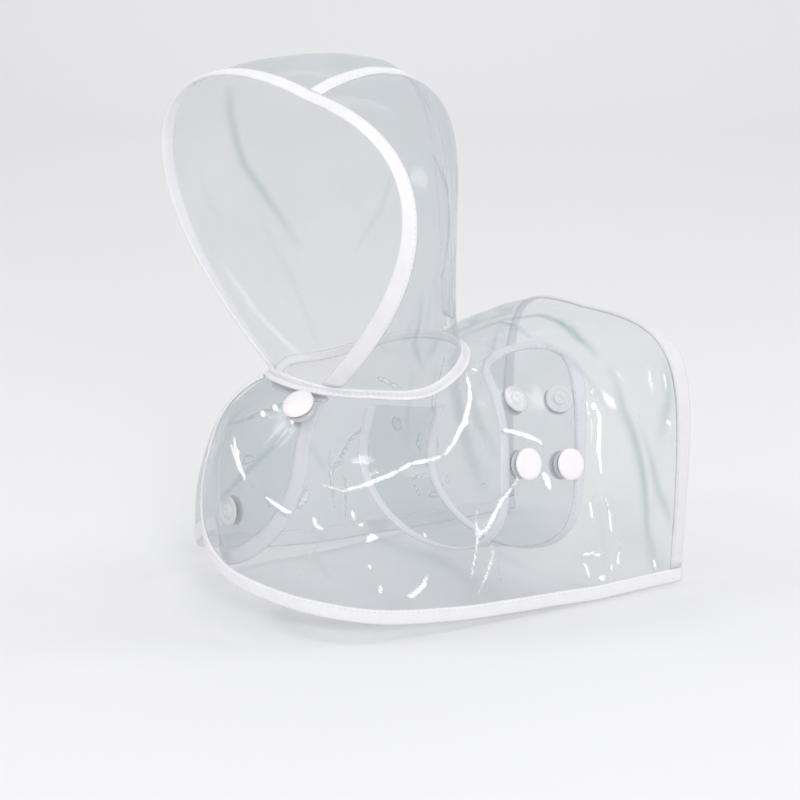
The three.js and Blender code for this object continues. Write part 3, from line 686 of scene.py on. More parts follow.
def rounded(profile, steps=5, size=0.28):
    """A profile with each of its corners turned into a short quadratic curve, which takes no more than
    0.45 of either side."""
    p = np.array(profile, float)
    t = np.linspace(0, 1, steps)[:, None]
    out = [p[:1]]
    for before, corner, after in zip(p[:-2], p[1:-1], p[2:]):
        ends = (before - corner, after - corner)
        a, b = (corner + to * min(0.45, size / np.linalg.norm(to)) for to in ends)
        out.append(a * (1 - t) ** 2 + 2 * corner * t * (1 - t) + b * t * t)
    return np.vstack([*out, p[-1:]])


def stitches(name, path, normal, lift, pitch, long, thick, sides=6, rings=5):
    """A row of separate stitches beside a seam: each is a spindle of a few rings, half sunk into the
    binding, at even steps of length along a path. Its radius is that of the middle times
    sqrt(1 - u^4), with u from -1 to 1 along it, and both ends dip by u^3."""
    length = np.concatenate([[0], np.cumsum(np.linalg.norm(np.diff(path, axis=0), axis=1))])
    count = max(1, int(length[-1] / pitch) - 1)
    middle = (np.arange(count) + 0.75) * pitch
    ring = np.linspace(-1, 1, rings)
    at = middle[:, None] + ring * long / 2
    point = np.stack([np.interp(at, length, path[:, i]) for i in range(3)], -1)
    up = unit(np.stack([np.interp(at, length, normal[:, i]) for i in range(3)], -1))
    side = unit(np.cross(up, np.gradient(point, axis=1)))
    turn = np.arange(sides) * 2 * np.pi / sides
    wide = thick * np.sqrt(np.maximum(0.02, 1 - ring**4))[None, :, None, None]
    rise = up[:, :, None] * np.sin(turn)[:, None] + side[:, :, None] * np.cos(turn)[:, None]
    points = point[:, :, None] + up[:, :, None] * (lift - 0.25 * np.abs(ring[None, :, None, None]) ** 3)
    points = (points + rise * wide).reshape(-1, 3)
    a, b = ring_corners(rings, sides)
    start = np.array([[0, 1, 2, 3], [0, 3, 4, 5]])
    end = np.array([[0, 3, 2, 1], [0, 5, 4, 3]]) + (rings - 1) * sides
    one = np.vstack([np.stack([a, a + sides, b + sides, b], -1), start, end])[:, ::-1]
    faces = (one[None] + np.arange(count)[:, None, None] * rings * sides).reshape(-1, 4)
    return mesh_object(name, points, faces)


# Materials


class Value:
    """A node's output socket in an expression: each operator adds a Math node."""

    def __init__(self, nodes, socket):
        self.nodes, self.socket = nodes, socket

    def math(self, operation, other=None, first=None):
        inputs = {0: self if first is None else first}
        if other is not None:
            inputs[1] = other
        return self.nodes.add("ShaderNodeMath", {"operation": operation}, inputs)

    def __add__(self, other):
        return self.math("ADD", other)

    def __mul__(self, other):
        return self.math("MULTIPLY", other)

    def __sub__(self, other):
        return self.math("SUBTRACT", other)

    def __rsub__(self, other):
        return self.math("SUBTRACT", self, first=other)

    def __pow__(self, other):
        return self.math("POWER", other)

    def clamp(self):
        return self.nodes.add("ShaderNodeClamp", {}, {"Value": self})

    __radd__ = __add__
    __rmul__ = __mul__


class Nodes:
    """The nodes of one material."""

    def __init__(self, name):
        self.material = bpy.data.materials.new(name)
        self.material.use_nodes = True
        self.tree = self.material.node_tree
        self.tree.nodes.clear()

    def add(self, kind, settings, inputs, output=0):
        """A node of a type, with its settings, and values or links for its sockets: one of its outputs, or
        the node itself where it has none."""
        node = self.tree.nodes.new(kind)
        for key, value in settings.items():
            setattr(node, key, value)
        for key, value in inputs.items():
            if isinstance(value, Value):
                self.tree.links.new(value.socket, node.inputs[key])
            else:
                node.inputs[key].default_value = value
        return Value(self, node.outputs[output]) if len(node.outputs) else node

    def noise(self, scale, detail, roughness, stretch=None):
        place = self.add("ShaderNodeTexCoord", {}, {}, "Object")
        if stretch:
            place = self.add("ShaderNodeMapping", {}, {"Vector": place, "Scale": stretch})
        inputs = {"Vector": place, "Scale": scale, "Detail": detail, "Roughness": roughness}
        return self.add("ShaderNodeTexNoise", {}, inputs, "Fac")

    def attribute(self, name):
        return self.add("ShaderNodeAttribute", {"attribute_name": name}, {}, "Fac")

    def mix_color(self, factor, a, b):
        """A and B are colours, or links to them. The colour sockets of a Mix node are 6, 7 and 2."""
        return self.add("ShaderNodeMix", {"data_type": "RGBA"}, {0: factor, 6: a, 7: b}, 2)

    def bump(self, height, strength, distance):
        inputs = {"Height": height, "Strength": strength, "Distance": distance}
        return self.add("ShaderNodeBump", {}, inputs, "Normal")

    def principled(self, inputs):
        return self.add("ShaderNodeBsdfPrincipled", {}, inputs, "BSDF")

    def finish(self, shader):
        self.add("ShaderNodeOutputMaterial", {}, {"Surface": shader})
        return self.material


def rgba(values):
    """A colour with its alpha of 1."""
    return (*tuple(values)[:3], 1.0)


def clear_film(name, sizes):
    """Clear film: see-through with a faint grey-blue body, glossy, with painted highlights along its
    creases and painted shade along its dark fold lines, and with shallow soft waves that break up its
    reflections."""
    n = Nodes(name)
    crease, shade, cloud = n.attribute("crease"), n.attribute("shade"), n.noise(26, 2, 0.5)
    waves = n.noise(55, 2, 0.6, (1.0, 1.0, 0.5))
    facing = n.add("ShaderNodeLayerWeight", {}, {"Blend": 0.3}, "Facing") ** 3.5
    ragged = n.noise(260, 2, 0.6)
    # The crease attribute carries painted highlights along the creases; here they are sharpened and broken
    # up.
    crease = ((crease * (0.5 + 1.0 * ragged) - 0.42) * 4.0).clamp()
    # Painted shade: along the dark crease lines the shade attribute turns the film to the fold colour; the
    # cloud noise varies its tint at random.
    tint = n.mix_color((cloud * 0.5 + shade * 0.8).clamp(), rgba(sizes.film_color), rgba(sizes.fold_color))
    tint = n.mix_color((facing * 0.8).clamp(), tint, rgba(sizes.edge_color))
    # Painted highlight: the film turns white along its creases.
    tint = n.mix_color(crease, tint, (1.0, 1.0, 1.0, 1))
    normal = n.bump(waves, 0.6, 0.002)
    body = n.principled({"Base Color": tint, "Roughness": 0.08 + 0.06 * cloud, "IOR": 1.5,
                         "Coat Weight": 0.7, "Coat Roughness": 0.03, "Normal": normal})
    clear = n.add("ShaderNodeBsdfTransparent", {}, {"Color": (0.985, 0.988, 0.99, 1)}, "BSDF")
    # The painted highlights and the painted shade also make the film less see-through.
    cover = (sizes.film_cover + facing * 0.46 + cloud * 0.05 + shade * 0.28 + crease * 0.7).clamp()
    return n.finish(n.add("ShaderNodeMixShader", {}, {0: cover, 1: clear, 2: body}, 0))


def woven_binding(name, sizes, painted_brightness):
    """Woven polyester binding: fine ribs across the tape from its own UV, crossed by a finer weft, with a
    faint sheen, and painted shade: the tape is darker in the hollows of the weave and of its puckers. Both
    of its colours are scaled by a painted brightness."""
    n = Nodes(name)
    place = n.add("ShaderNodeUVMap", {"uv_map": "thread"}, {}, "UV")

    def threads(direction, scale, uneven):
        inputs = {"Vector": place, "Scale": scale, "Distortion": uneven, "Detail": 1.0, "Detail Scale": 2.0}
        settings = {"bands_direction": direction, "wave_profile": "SIN"}
        return n.add("ShaderNodeTexWave", settings, inputs, "Fac")

    puckers = n.noise(120, 3, 0.6)
    weave = threads("X", 0.55, 0.6) * 0.6 + threads("Y", 0.8, 0.5) * 0.4
    # Painted shade: the lower the weave and the puckers lie in the bump, the nearer the colour is to the
    # binding shade.
    shade = (0.35 * weave + 0.65 * puckers).clamp()
    # Both colours are scaled by the painted brightness, as painted light: lighter for the strap's tape,
    # darker for the rear one.
    dim, full = (rgba(np.minimum(painted_brightness * np.array(c), 1.0))
                 for c in (sizes.binding_shade, sizes.binding_color))
    tint = n.mix_color(shade, dim, full)
    normal = n.bump(weave * 0.35 + puckers * 1.2, 0.5, 0.0005)
    inputs = {"Base Color": tint, "Roughness": 0.62 + 0.2 * puckers, "Sheen Weight": 0.25,
              "Sheen Roughness": 0.4, "Normal": normal}
    return n.finish(n.principled(inputs))


def spun_thread(name):
    """Spun sewing thread, greyer than the tape, with a fine twist."""
    n = Nodes(name)
    twist = n.noise(1400, 2, 0.6)
    tint = n.mix_color(twist, (0.60, 0.60, 0.64, 1), (0.82, 0.82, 0.85, 1))
    normal = n.bump(twist, 0.6, 0.0001)
    return n.finish(n.principled({"Base Color": tint, "Roughness": 0.55, "Sheen Weight": 0.2,
                                  "Normal": normal}))


def moulded_resin(name, sizes):
    """White resin: smooth and softly glossy, with a fine moulding haze and a slightly uneven colour."""
    n = Nodes(name)
    haze, flow = n.noise(700, 3, 0.6), n.noise(90, 2, 0.5)
    tint = n.mix_color(flow, rgba(sizes.resin_shade), rgba(sizes.resin_color))
    normal = n.bump(haze * 0.3 + flow, 0.25, 0.0002)
    return n.finish(n.principled({"Base Color": tint, "Roughness": 0.26 + 0.12 * haze, "Coat Weight": 0.2,
                                  "Coat Roughness": 0.12, "Normal": normal}))


# Creases: lines over the ribs (s) and down them (v), with their width and height in millimetres and how
# strong the painted highlight along them is, below 0 for how strong their painted shade is

NARROWEST = 1.4  # the narrowest crease that the mesh can still draw without a break


def crease_layers(surface, points, lines):
    """How high the creases make each point, and how much painted highlight and painted shade they lay on
    it: exp(-(d / w)^2) of the distance d to the nearest place of each line and a width w, which fades
    towards both ends of the line as the root of a sine."""
    high, white, dark = np.zeros((3, len(points)))
    for wide, tall, pale, *knots in lines:
        reach, spread = 5 * wide + 3, 1.6 * wide
        k = np.array(knots, float)
        t = np.linspace(0, len(k) - 1, 8 * (len(k) - 1) + 1)
        s, v = (np.interp(t, np.arange(len(k)), k[:, i]) for i in range(2))
        line = surface(s, v)
        length = len(line) - 1
        nearest, share = np.full(len(points), 1e9), np.zeros(len(points))
        for i, (a, b) in enumerate(zip(line[:-1], line[1:])):
            near = np.linalg.norm(points - (a + b) / 2, axis=1) < np.linalg.norm(b - a) + reach
            p = points[near] - a
            u = np.clip(p @ (b - a) / max(1e-9, (b - a) @ (b - a)), 0, 1)
            away = np.linalg.norm(p - u[:, None] * (b - a), axis=1)
            closer = away < nearest[near]
            index = np.flatnonzero(near)[closer]
            nearest[index], share[index] = away[closer], (i + u[closer]) / length
        fade = np.sin(np.pi * np.clip(share, 0.04, 0.96)) ** 0.5
        high += tall * fade * np.exp(-((nearest / spread) ** 2))
        bell = abs(pale) * fade * np.exp(-((nearest / max(wide, NARROWEST)) ** 2))
        # A pale above 0 lays a painted highlight, one below 0 painted shade.
        if pale > 0:
            white = np.maximum(white, bell)
        else:
            dark = np.maximum(dark, bell)
    return high, white, dark


def small_creases(seed, count, pale, s_range=(0.3, 9.7)):
    """Small crossing creases, the same at each run: each runs from a random place in a random direction,
    with a bend in the middle."""
    chance = np.random.default_rng(seed)
    lines = []
    for _ in range(count):
        s, v = chance.uniform(*s_range), chance.uniform(0.08, 0.9)
        turn, far = chance.normal(1.4, 0.6), chance.uniform(0.12, 0.42)
        bend = chance.normal(0, 0.35)
        knots = [(s, v)]
        for k in (0, bend):
            s = s + 2.2 * far / 2 * np.cos(turn + k)
            v = v + far / 2 * np.sin(turn + k)
            knots.append((float(np.clip(s, *s_range)), float(np.clip(v, 0.03, 0.97))))
        wide, tall = chance.uniform(0.5, 1.6), chance.uniform(-0.5, 0.6)
        # A third of the small creases carry painted shade, the rest painted highlights, of random strength.
        lines.append((wide, tall, pale * chance.uniform(0.1, 1) ** 2 * chance.choice([1, 1, -1]), *knots))
    return lines


CHEST_CREASES = [
    (1.2, -1.0, -0.6, (1.92, 0.294), (1.78, 0.431), (1.51, 0.572), (1.27, 0.682), (1.17, 0.749)),
    (0.9, 0.9, 1, (0.97, 0.421), (1.31, 0.498), (1.49, 0.579), (1.57, 0.609)),
    (0.7, 0.7, 0.9, (1.01, 0.462), (1.33, 0.525), (1.51, 0.592)),
    (1.6, 0.6, 1, (1.31, 0.258), (1.47, 0.284)),
    (1.6, 0.6, 1, (1.45, 0.194), (1.61, 0.227)),
    (1.0, 0.6, 0.8, (1.88, 0.258), (2.0, 0.288)),
    (1.2, 1.1, 0.95, (1.76, 0.625), (1.94, 0.649), (2.1, 0.669), (2.22, 0.666)),
    (1.3, 1.3, 0.85, (2.26, 0.525), (2.46, 0.542), (2.72, 0.559), (2.98, 0.532), (3.26, 0.495),
     (3.5, 0.458), (3.84, 0.452), (4.06, 0.415), (4.2, 0.37)),
    (1.4, 1.6, 1, (3.72, 0.462), (3.94, 0.445), (4.1, 0.405), (4.34, 0.318), (4.72, 0.137), (5.05, 0.02)),
    (2.2, 0.6, 1, (4.28, 0.358), (4.38, 0.318)),
    (1.2, 1, 1, (2.4, 0.656), (2.44, 0.702), (2.54, 0.712)),
    (1.0, 0.8, 0.95, (2.82, 0.625), (2.86, 0.679)),
    (0.8, 0.6, 0.9, (2.9, 0.672), (2.94, 0.696)),
    (2.0, 1.2, 1, (2.96, 0.749), (3.04, 0.722), (3.14, 0.729)),
    (1.3, 0.7, 0.9, (3.62, 0.722), (3.68, 0.739)),
    (0.7, 0.5, 0.6, (2.54, 0.722), (2.38, 0.809), (2.12, 0.94)),
    (2.0, 1.4, 1, (3.4, 0.913), (3.52, 0.91), (3.64, 0.883), (3.7, 0.839)),
    (1.1, 0.6, 0.9, (3.02, 0.809), (3.02, 0.833)),
    (1.3, 0.8, 0.95, (3.14, 0.873), (3.14, 0.913)),
]
FLANK_CREASES = [
    (0.9, 1, 0.75, (4.4, 0.632), (4.34, 0.706), (4.34, 0.756), (4.28, 0.843), (4.2, 0.953)),
    (1.1, 0.9, 1, (4.92, 0.448), (5.05, 0.462), (5.41, 0.512), (5.75, 0.559), (5.91, 0.599)),
    (2.4, 1, 1, (5.65, 0.645), (5.75, 0.679), (5.83, 0.716)),
    (1.1, 1.2, 0.95, (5.02, 0.585), (5.09, 0.635), (4.74, 0.676), (4.5, 0.742), (4.34, 0.766),
     (4.28, 0.846), (4.22, 0.95)),
    (0.9, 0.9, 0.8, (4.5, 0.749), (4.56, 0.826), (4.46, 0.886), (4.32, 0.96)),
    (0.7, 0.5, 0.5, (4.6, 0.756), (4.62, 0.813), (4.7, 0.89), (4.86, 0.963)),
    (0.9, 0.5, 0.9, (5.05, 0.084), (5.13, 0.151)),
    (0.7, 0.5, 0.5, (4.62, 0.388), (4.64, 0.465), (4.5, 0.542)),
    (0.7, 0.5, 0.45, (5.85, 0.395), (6.03, 0.488)),
]
REAR_CREASES = [
    (1.5, 1.5, 1, (7.83, 0.545), (7.77, 0.605), (7.47, 0.679), (7.35, 0.763)),
    (2.6, 0.6, 1, (7.69, 0.552), (7.83, 0.569)),
    (1.0, 0.9, 0.75, (7.33, 0.766), (6.85, 0.786), (6.87, 0.829), (7.03, 0.846)),
    (1.0, 0.9, 0.7, (7.31, 0.773), (7.49, 0.813), (7.55, 0.87), (8.15, 0.91)),
    (1.0, 0.8, 0.85, (6.37, 0.893), (6.79, 0.9), (7.43, 0.92)),
    (1.3, 0.8, 0.85, (6.51, 0.906), (6.67, 0.933), (6.79, 0.957)),
    (1.8, 0.8, 1, (6.97, 0.957), (7.43, 0.96)),
    (1.1, 0.8, 0.8, (8.01, 0.906), (7.85, 0.936), (8.05, 0.953)),
    (0.9, 0.6, 0.7, (7.57, 0.93), (7.71, 0.96)),
    (0.8, 0.6, 0.85, (8.98, 0.95), (9.18, 0.977)),
    (2.6, 1.5, -0.7, (8.44, 0.475), (8.33, 0.602), (8.46, 0.706), (8.6, 0.793), (8.74, 0.893), (9.1, 0.97)),
    (2.2, 1.2, -0.5, (8.66, 0.676), (9.08, 0.829), (9.58, 0.913)),
    (0.8, 0.5, 0.5, (8.03, 0.492), (7.73, 0.538)),
    (2.4, -1.3, -1, (8.0, 0.01), (8.7, 0.06), (8.64, 0.144), (8.44, 0.284), (8.4, 0.378)),
    (1.8, 1.0, -0.8, (7.4, 0.03), (8.11, 0.033), (7.79, 0.211)),
    (0.8, 0.5, 0.9, (9.32, 0.666), (9.46, 0.692)),
    (0.7, 0.5, 0.45, (8.48, 0.462), (8.7, 0.649), (9.16, 0.789)),
    (2.4, 1.2, -0.5, (9.58, 0.465), (9.44, 0.615), (9.18, 0.719)),
]


def shifted(lines, ds, dv, share):
    """Lines moved over the surface, and fainter: the hidden side is creased much as the near one is."""
    moved = []
    for wide, tall, pale, *knots in lines:
        knots = [(s + ds + 0.2 * np.sin(7 * v), min(0.97, max(0.03, v + dv))) for s, v in knots]
        moved.append((wide, tall, pale * share, *knots))
    return moved


CREASES_LEFT = [*CHEST_CREASES, *FLANK_CREASES, *REAR_CREASES, *small_creases(5, 34, 0.35)]
HIDDEN_CREASES = [*shifted(CHEST_CREASES[6:], 0.4, -0.03, 0.8), *shifted(FLANK_CREASES, 0.25, 0.02, 0.8),
                  *shifted(REAR_CREASES, -0.3, -0.02, 0.8), *small_creases(9, 30, 0.4)]
CREASES_RIGHT = [(max(1.5 * wide, 1.8), 0.25 * tall, *rest) for wide, tall, *rest in HIDDEN_CREASES]


# Operators


def length_setting(name, description, default, low, high):
    """A length in metres."""
    return bpy.props.FloatProperty(
        name=name, description=description, default=default, min=low, max=high, unit="LENGTH", precision=5)


def color_setting(name, description, default):
    """A colour of three values from 0 to 1."""
    return bpy.props.FloatVectorProperty(
        name=name, description=description, default=default, size=3, min=0, max=1, subtype="COLOR")


class RaincoatSizes(bpy.types.PropertyGroup):
    """Sizes and colours of the raincoat."""

    film_thickness: length_setting("Film thickness", "Wall of the clear film", 0.0003, 0.0001, 0.001)
    binding_thickness: length_setting(
        "Binding thickness", "Thickness of the folded binding", 0.0017, 0.0008, 0.002)
    stitch_pitch: length_setting(
        "Stitch pitch", "Distance from one stitch to the next", 0.0026, 0.0015, 0.006)
    film_cover: bpy.props.FloatProperty(
        name="Film cover", description="How much the film hides what is behind it", default=0.085,
        min=0.02, max=0.8, subtype="FACTOR")
    film_color: color_setting("Film colour", "Body of the clear film", (0.46, 0.50, 0.535))
    # The fold colour is laid on at random through the film's cloud noise, and as painted shade along its
    # dark crease lines.
    fold_color: color_setting("Film shade", "Film where it is folded or doubled", (0.16, 0.33, 0.34))
    edge_color: color_setting("Film edge colour", "Film seen along its length", (0.24, 0.42, 0.46))
    binding_color: color_setting("Binding colour", "Woven binding", (0.905, 0.89, 0.92))
    # Painted shade in the hollows of the weave and of its puckers.
    binding_shade: color_setting("Binding shade", "Hollows of the weave", (0.76, 0.75, 0.785))
    resin_color: color_setting("Stud colour", "Press studs", (0.88, 0.845, 0.865))
    resin_shade: color_setting("Stud shade", "Uneven colour of the press studs", (0.80, 0.765, 0.785))
    floor_color: color_setting("Floor colour", "Plain pale floor", (0.80, 0.80, 0.81))


def sizes_of(context):
    return context.scene.raincoat


def material(name, make, *inputs):
    """A material by its name, made where it isn't there yet."""
    return bpy.data.materials.get(name) or make(name, *inputs)


def dress(piece, nodes, finish):
    """Gives a piece its material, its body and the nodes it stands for."""
    piece.data.materials.clear()
    piece.data.materials.append(finish)
    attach(piece, "root")
    if nodes:
        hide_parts(*nodes)
    return piece


def with_trims(*names):
    """The bindings and their stitches that are sewn to a sheet, of those that are made already."""
    starts = tuple(f"{kind}_{name}" for kind in ("binding", "stitches") for name in names)
    return [piece for piece in bpy.data.objects if piece.name.startswith(starts)]


def flat_uv(points_by_rows):
    """Distances along the rows and down the columns of a grid, in millimetres."""
    down = np.linalg.norm(np.diff(points_by_rows, axis=0), axis=-1)
    wide = np.linalg.norm(np.diff(points_by_rows, axis=1), axis=-1)
    v = np.vstack([np.zeros((1, down.shape[1])), np.cumsum(down, axis=0)])
    u = np.hstack([np.zeros((wide.shape[0], 1)), np.cumsum(wide, axis=1)])
    return np.stack([u, v], -1).reshape(-1, 2)


def creased(surface, s, v, way, lines, low, high):
    """Points of a film with its creases, with the painted highlight and the painted shade at each point."""
    grid = surface(s, v)
    flat = grid.reshape(-1, 3)
    normal = way * frame_at(surface, s, v)[2].reshape(-1, 3)
    rise, white, dark = crease_layers(surface, flat, lines)
    points = flat + normal * (rise * calm(v, low, high).ravel())[:, None]
    return points, flat_uv(grid), white, dark


def film(context, name, node, points, quads, uv, white, dark):
    """A closed wall of clear film in place of a node."""
    sizes = sizes_of(context)
    # The painted highlights and the painted shade of the creases go to the mesh as its crease and shade
    # attributes.
    layers = {"crease": white, "shade": dark}
    piece = shell(name, points, quads, sizes.film_thickness * 1000, uv, layers)
    return dress(piece, [node], material("clear_film", clear_film, sizes))


class RAINCOAT_OT_cape(bpy.types.Operator):
    """The cape of clear film with its creases"""

    bl_idname = "raincoat.cape"
    bl_label = "Cape"

    def execute(self, context):
        halves, quads, start = [], [], 0
        for surface, side, lines, rows in (
            (cape_left, 1, CREASES_LEFT, 118),
            (cape_right, -1, CREASES_RIGHT, 72),
        ):
            s, v = cape_grid(surface, rows)
            halves.append(creased(surface, s, v, side, lines, 0.01, 0.1))
            own = quads_of(*s.shape, start)
            quads.append(own if side > 0 else own[:, ::-1])
            start += s.size
        layers = [np.concatenate(layer) for layer in zip(*halves)]
        # The two halves share their points on the spine.
        keys = np.round(layers[0], 3)
        _, first, back = np.unique(keys, axis=0, return_index=True, return_inverse=True)
        points, *rest = (layer[first] for layer in layers)
        piece = film(context, "film_cape", "cape", points, back.reshape(-1)[np.vstack(quads)], *rest)
        return {"FINISHED"}


CREASES_HOOD_LEFT = [
    (2.0, -1.0, -0.6, (1.2, 0.35), (1.5, 0.55), (1.7, 0.72)),
    (1.6, 0.9, 0.3, (2.4, 0.62), (2.9, 0.78), (3.3, 0.9)),
    (1.4, -0.8, -0.5, (0.8, 0.7), (1.2, 0.84), (1.9, 0.92)),
    *small_creases(21, 22, 0.3, (0.3, 4.6)),
]
CREASES_HOOD_RIGHT = [
    (2.0, -1.0, -0.6, (1.1, 0.4), (1.4, 0.6), (1.9, 0.74)),
    (1.6, 0.9, 0.4, (2.3, 0.55), (2.8, 0.7), (3.1, 0.86)),
    *small_creases(33, 22, 0.3, (0.3, 4.6)),
]


class RAINCOAT_OT_hood(bpy.types.Operator):
    """The two hood panels of clear film"""

    bl_idname = "raincoat.hood"
    bl_label = "Hood"

    def execute(self, context):
        for side, surface, way, lines, flat_size, area in (
            ("left", hood_left, -1, CREASES_HOOD_LEFT, (0.175, 0.155), 0.0173),
            ("right", hood_right, 1, CREASES_HOOD_RIGHT, (0.19, 0.17), 0.022),
        ):
            s, v = hood_grid(surface)
            points, *rest = creased(surface, s, v, way, lines, 0.02, 0.12)
            quads = quads_of(*s.shape)
            quads = quads if way > 0 else quads[:, ::-1]
            piece = film(context, f"film_hood_{side}", f"hood_{side}", points, quads, *rest)
            trims = with_trims("face", "crown") if side == "left" else []
        return {"FINISHED"}


class RAINCOAT_OT_strap(bpy.types.Operator):
    """The belly strap of clear film"""

    bl_idname = "raincoat.strap"
    bl_label = "Belly strap"

    def execute(self, context):
        half, b = (row[1:, None] for row in strap_outline(2.5))
        grid = strap_point(half * np.linspace(-1, 1, 25), b + np.zeros(25))
        points = grid.reshape(-1, 3)
        quads, plain = quads_of(*grid.shape[:2])[:, ::-1], np.zeros(len(points))
        piece = film(context, "film_strap", "belly_strap", points, quads, flat_uv(grid), plain, plain)
        return {"FINISHED"}


# Bindings: grids of middle points, stations by points across


def hem_line():
    """The front edge, its corner and the hem, as s and v, from the neck to the rear corner."""
    s, v = front_edge(40)
    hem = np.linspace(CORNER_S, TAIL, 160)[1:]
    return np.append(s, hem), np.append(v, np.ones(len(hem)))


def hem_binding(surface):
    """The front edge and hem, from just below the neck binding."""
    grid = surface(*strip(surface, *hem_line(), TAPE_WIDTH, ACROSS - 1))
    below = np.linalg.norm(grid[:, 6] - grid[0, 6], axis=1)
    return grid[np.argmax(below > SEAM + 0.4):]


def end_binding(surfaces, end, way, clear, rows):
    """Along the last rib of two surfaces, from a distance above the end of the first, over its top and
    down the second."""
    d = np.linspace(0, TAPE_WIDTH, ACROSS)
    strips = []
    for surface in surfaces:
        last = level_in(surface, np.array([end]), 1.0, clear)[0]
        v = np.linspace(0, last, rows)[:, None]
        s = end + way * d / width_of(surface, np.full_like(v, end), v)
        strips.append(surface(s, v + 0 * s))
    return np.concatenate([strips[0][::-1], strips[1][1:]])


def rear_binding():
    """The rear edge, from one hem over the spine to the other."""
    return end_binding((cape_right, cape_left), TAIL, -1, TAPE_WIDTH + 0.3, 70)


def face_binding():
    """Round the hood's opening, from the neck over the crown to the neck."""
    return end_binding((hood_left, hood_right), 0.0, 1, SEAM + 0.4, 110)


def crown_binding():
    """Over the crown seam, from the face binding to just above the nape."""
    start = (TAPE_WIDTH + 0.2) / width_of(hood_left, np.zeros(1), np.zeros(1))[0]
    s = np.linspace(start, NEAR_NAPE, 130)[:, None]
    d = np.linspace(SEAM, 0, 7)
    left = hood_left(s, level_in(hood_left, s + 0 * d, 0.0, d))
    right = hood_right(s, level_in(hood_right, s + 0 * d, 0.0, d))
    return np.concatenate([left, right[:, -2::-1]], axis=1)


def neck_binding():
    """Over the neck seam, from the left front edge round the nape to the right one."""
    left, right = (
        neck_rows(surface, rows, side, np.linspace(rows["ring"][0], 180, 150))
        for surface, rows, side in ((cape_left, LEFT, 1), (cape_right, RIGHT, -1))
    )
    return np.concatenate([left, right[-2::-1]])


def strap_binding():
    """Round the strap, from its sewn end up one edge, round the free end and down the other."""
    half, b = np.array([strap_outline(d) for d in np.linspace(0, STRAP["tape"], 11)]).transpose(1, 2, 0)
    return np.concatenate([strap_point(-half, b)[::-1], strap_point(half, b)[1:]])


# Each binding's node, its grid, and the rows of the grid where it is stitched

BINDINGS = {
    "crown": ("crown_tape", crown_binding, (2, -3)),
    "face": ("face_tape", face_binding, (-3,)),
    "neck": ("neck_tape", neck_binding, (2, -3)),
    "hem_left": ("hem_tape_left", lambda: hem_binding(cape_left), (-3,)),
    "hem_right": ("hem_tape_right", lambda: hem_binding(cape_right), (-3,)),
    "rear": ("rear_tape", rear_binding, (-3,)),
    "strap": ("strap_tape", strap_binding, (-3,)),
}

# How light a binding's tape is against the others', as painted light: the strap's is seen through the film
# and painted lighter against the shade the film casts on it, and the rear one is the faintest, painted
# darker

BINDING_PAINTED_LIGHT = {"strap": 1.09, "rear": 0.9}
STITCH_LONG, STITCH_THICK = 1.9, 0.2


class RAINCOAT_OT_bindings(bpy.types.Operator):
    """The folded white bindings with their rows of stitches"""

    bl_idname = "raincoat.bindings"
    bl_label = "Bindings and stitches"

    def execute(self, context):
        sizes = sizes_of(context)
        half = sizes.binding_thickness * 500
        for name, (node, make, seams) in BINDINGS.items():
            grid = make()
            piece = band(f"binding_{name}", grid, half)
            # The strap's and the rear tape get their own copies of the material, painted lighter and darker
            # as painted light.
            painted_brightness = BINDING_PAINTED_LIGHT.get(name, 1.0)
            finish = material(f"woven_binding_{round(100 * painted_brightness)}", woven_binding, sizes, painted_brightness)
            dress(piece, [node], finish)
            for number, row in enumerate(seams, 1):
                for face, way in (("one", 1), ("other", -1)):
                    thread = stitches(f"stitches_{name}_{face}_{number}", grid[:, row],
                                      way * grid_normal(grid)[:, row], half * 0.97,
                                      sizes.stitch_pitch * 1000, STITCH_LONG, STITCH_THICK)
                    dress(thread, [], material("spun_thread", spun_thread))
        return {"FINISHED"}


# Press studs: profiles of radius and height in millimetres

CAP = [(0, 0), (7.2, 0), (7.5, 0.5), (7.3, 1.0), (6.2, 1.7), (4.4, 2.15), (2.0, 2.35), (0, 2.4)]
PAIR = [(0, 0), (6.35, 0), (6.75, 0.4), (6.65, 0.9), (5.15, 1.1), (5.15, 1.3), (6.65, 1.5), (6.65, 1.8),
        (6.25, 2.2), (0, 2.2)]
DISC = [(0, 0), (6.45, 0), (6.75, 0.4), (6.45, 0.9), (4.9, 1.05), (4.5, 0.6), (3.3, 0.6), (3.1, 1.45),
        (2.6, 1.8), (1.5, 1.8), (1.1, 1.3), (0, 1.3)]
BACK = [(0, 0), (6.3, 0), (6.9, 0.9), (6.7, 1.4), (2.0, 1.4), (1.6, 1.15), (0, 1.15)]
SEAT_UP = 0.8  # from the middle of the film up to what is fastened on it
BEHIND = -SEAT_UP - 2.3  # from there down to the foot of a back


def strap_place(across, b):
    """The place of a stud on the left flank, over a point of the strap."""
    s, v = place_over_strap(cape_left, np.array([across]), np.array([b]))
    return place_on(cape_left, s[0], v[0])


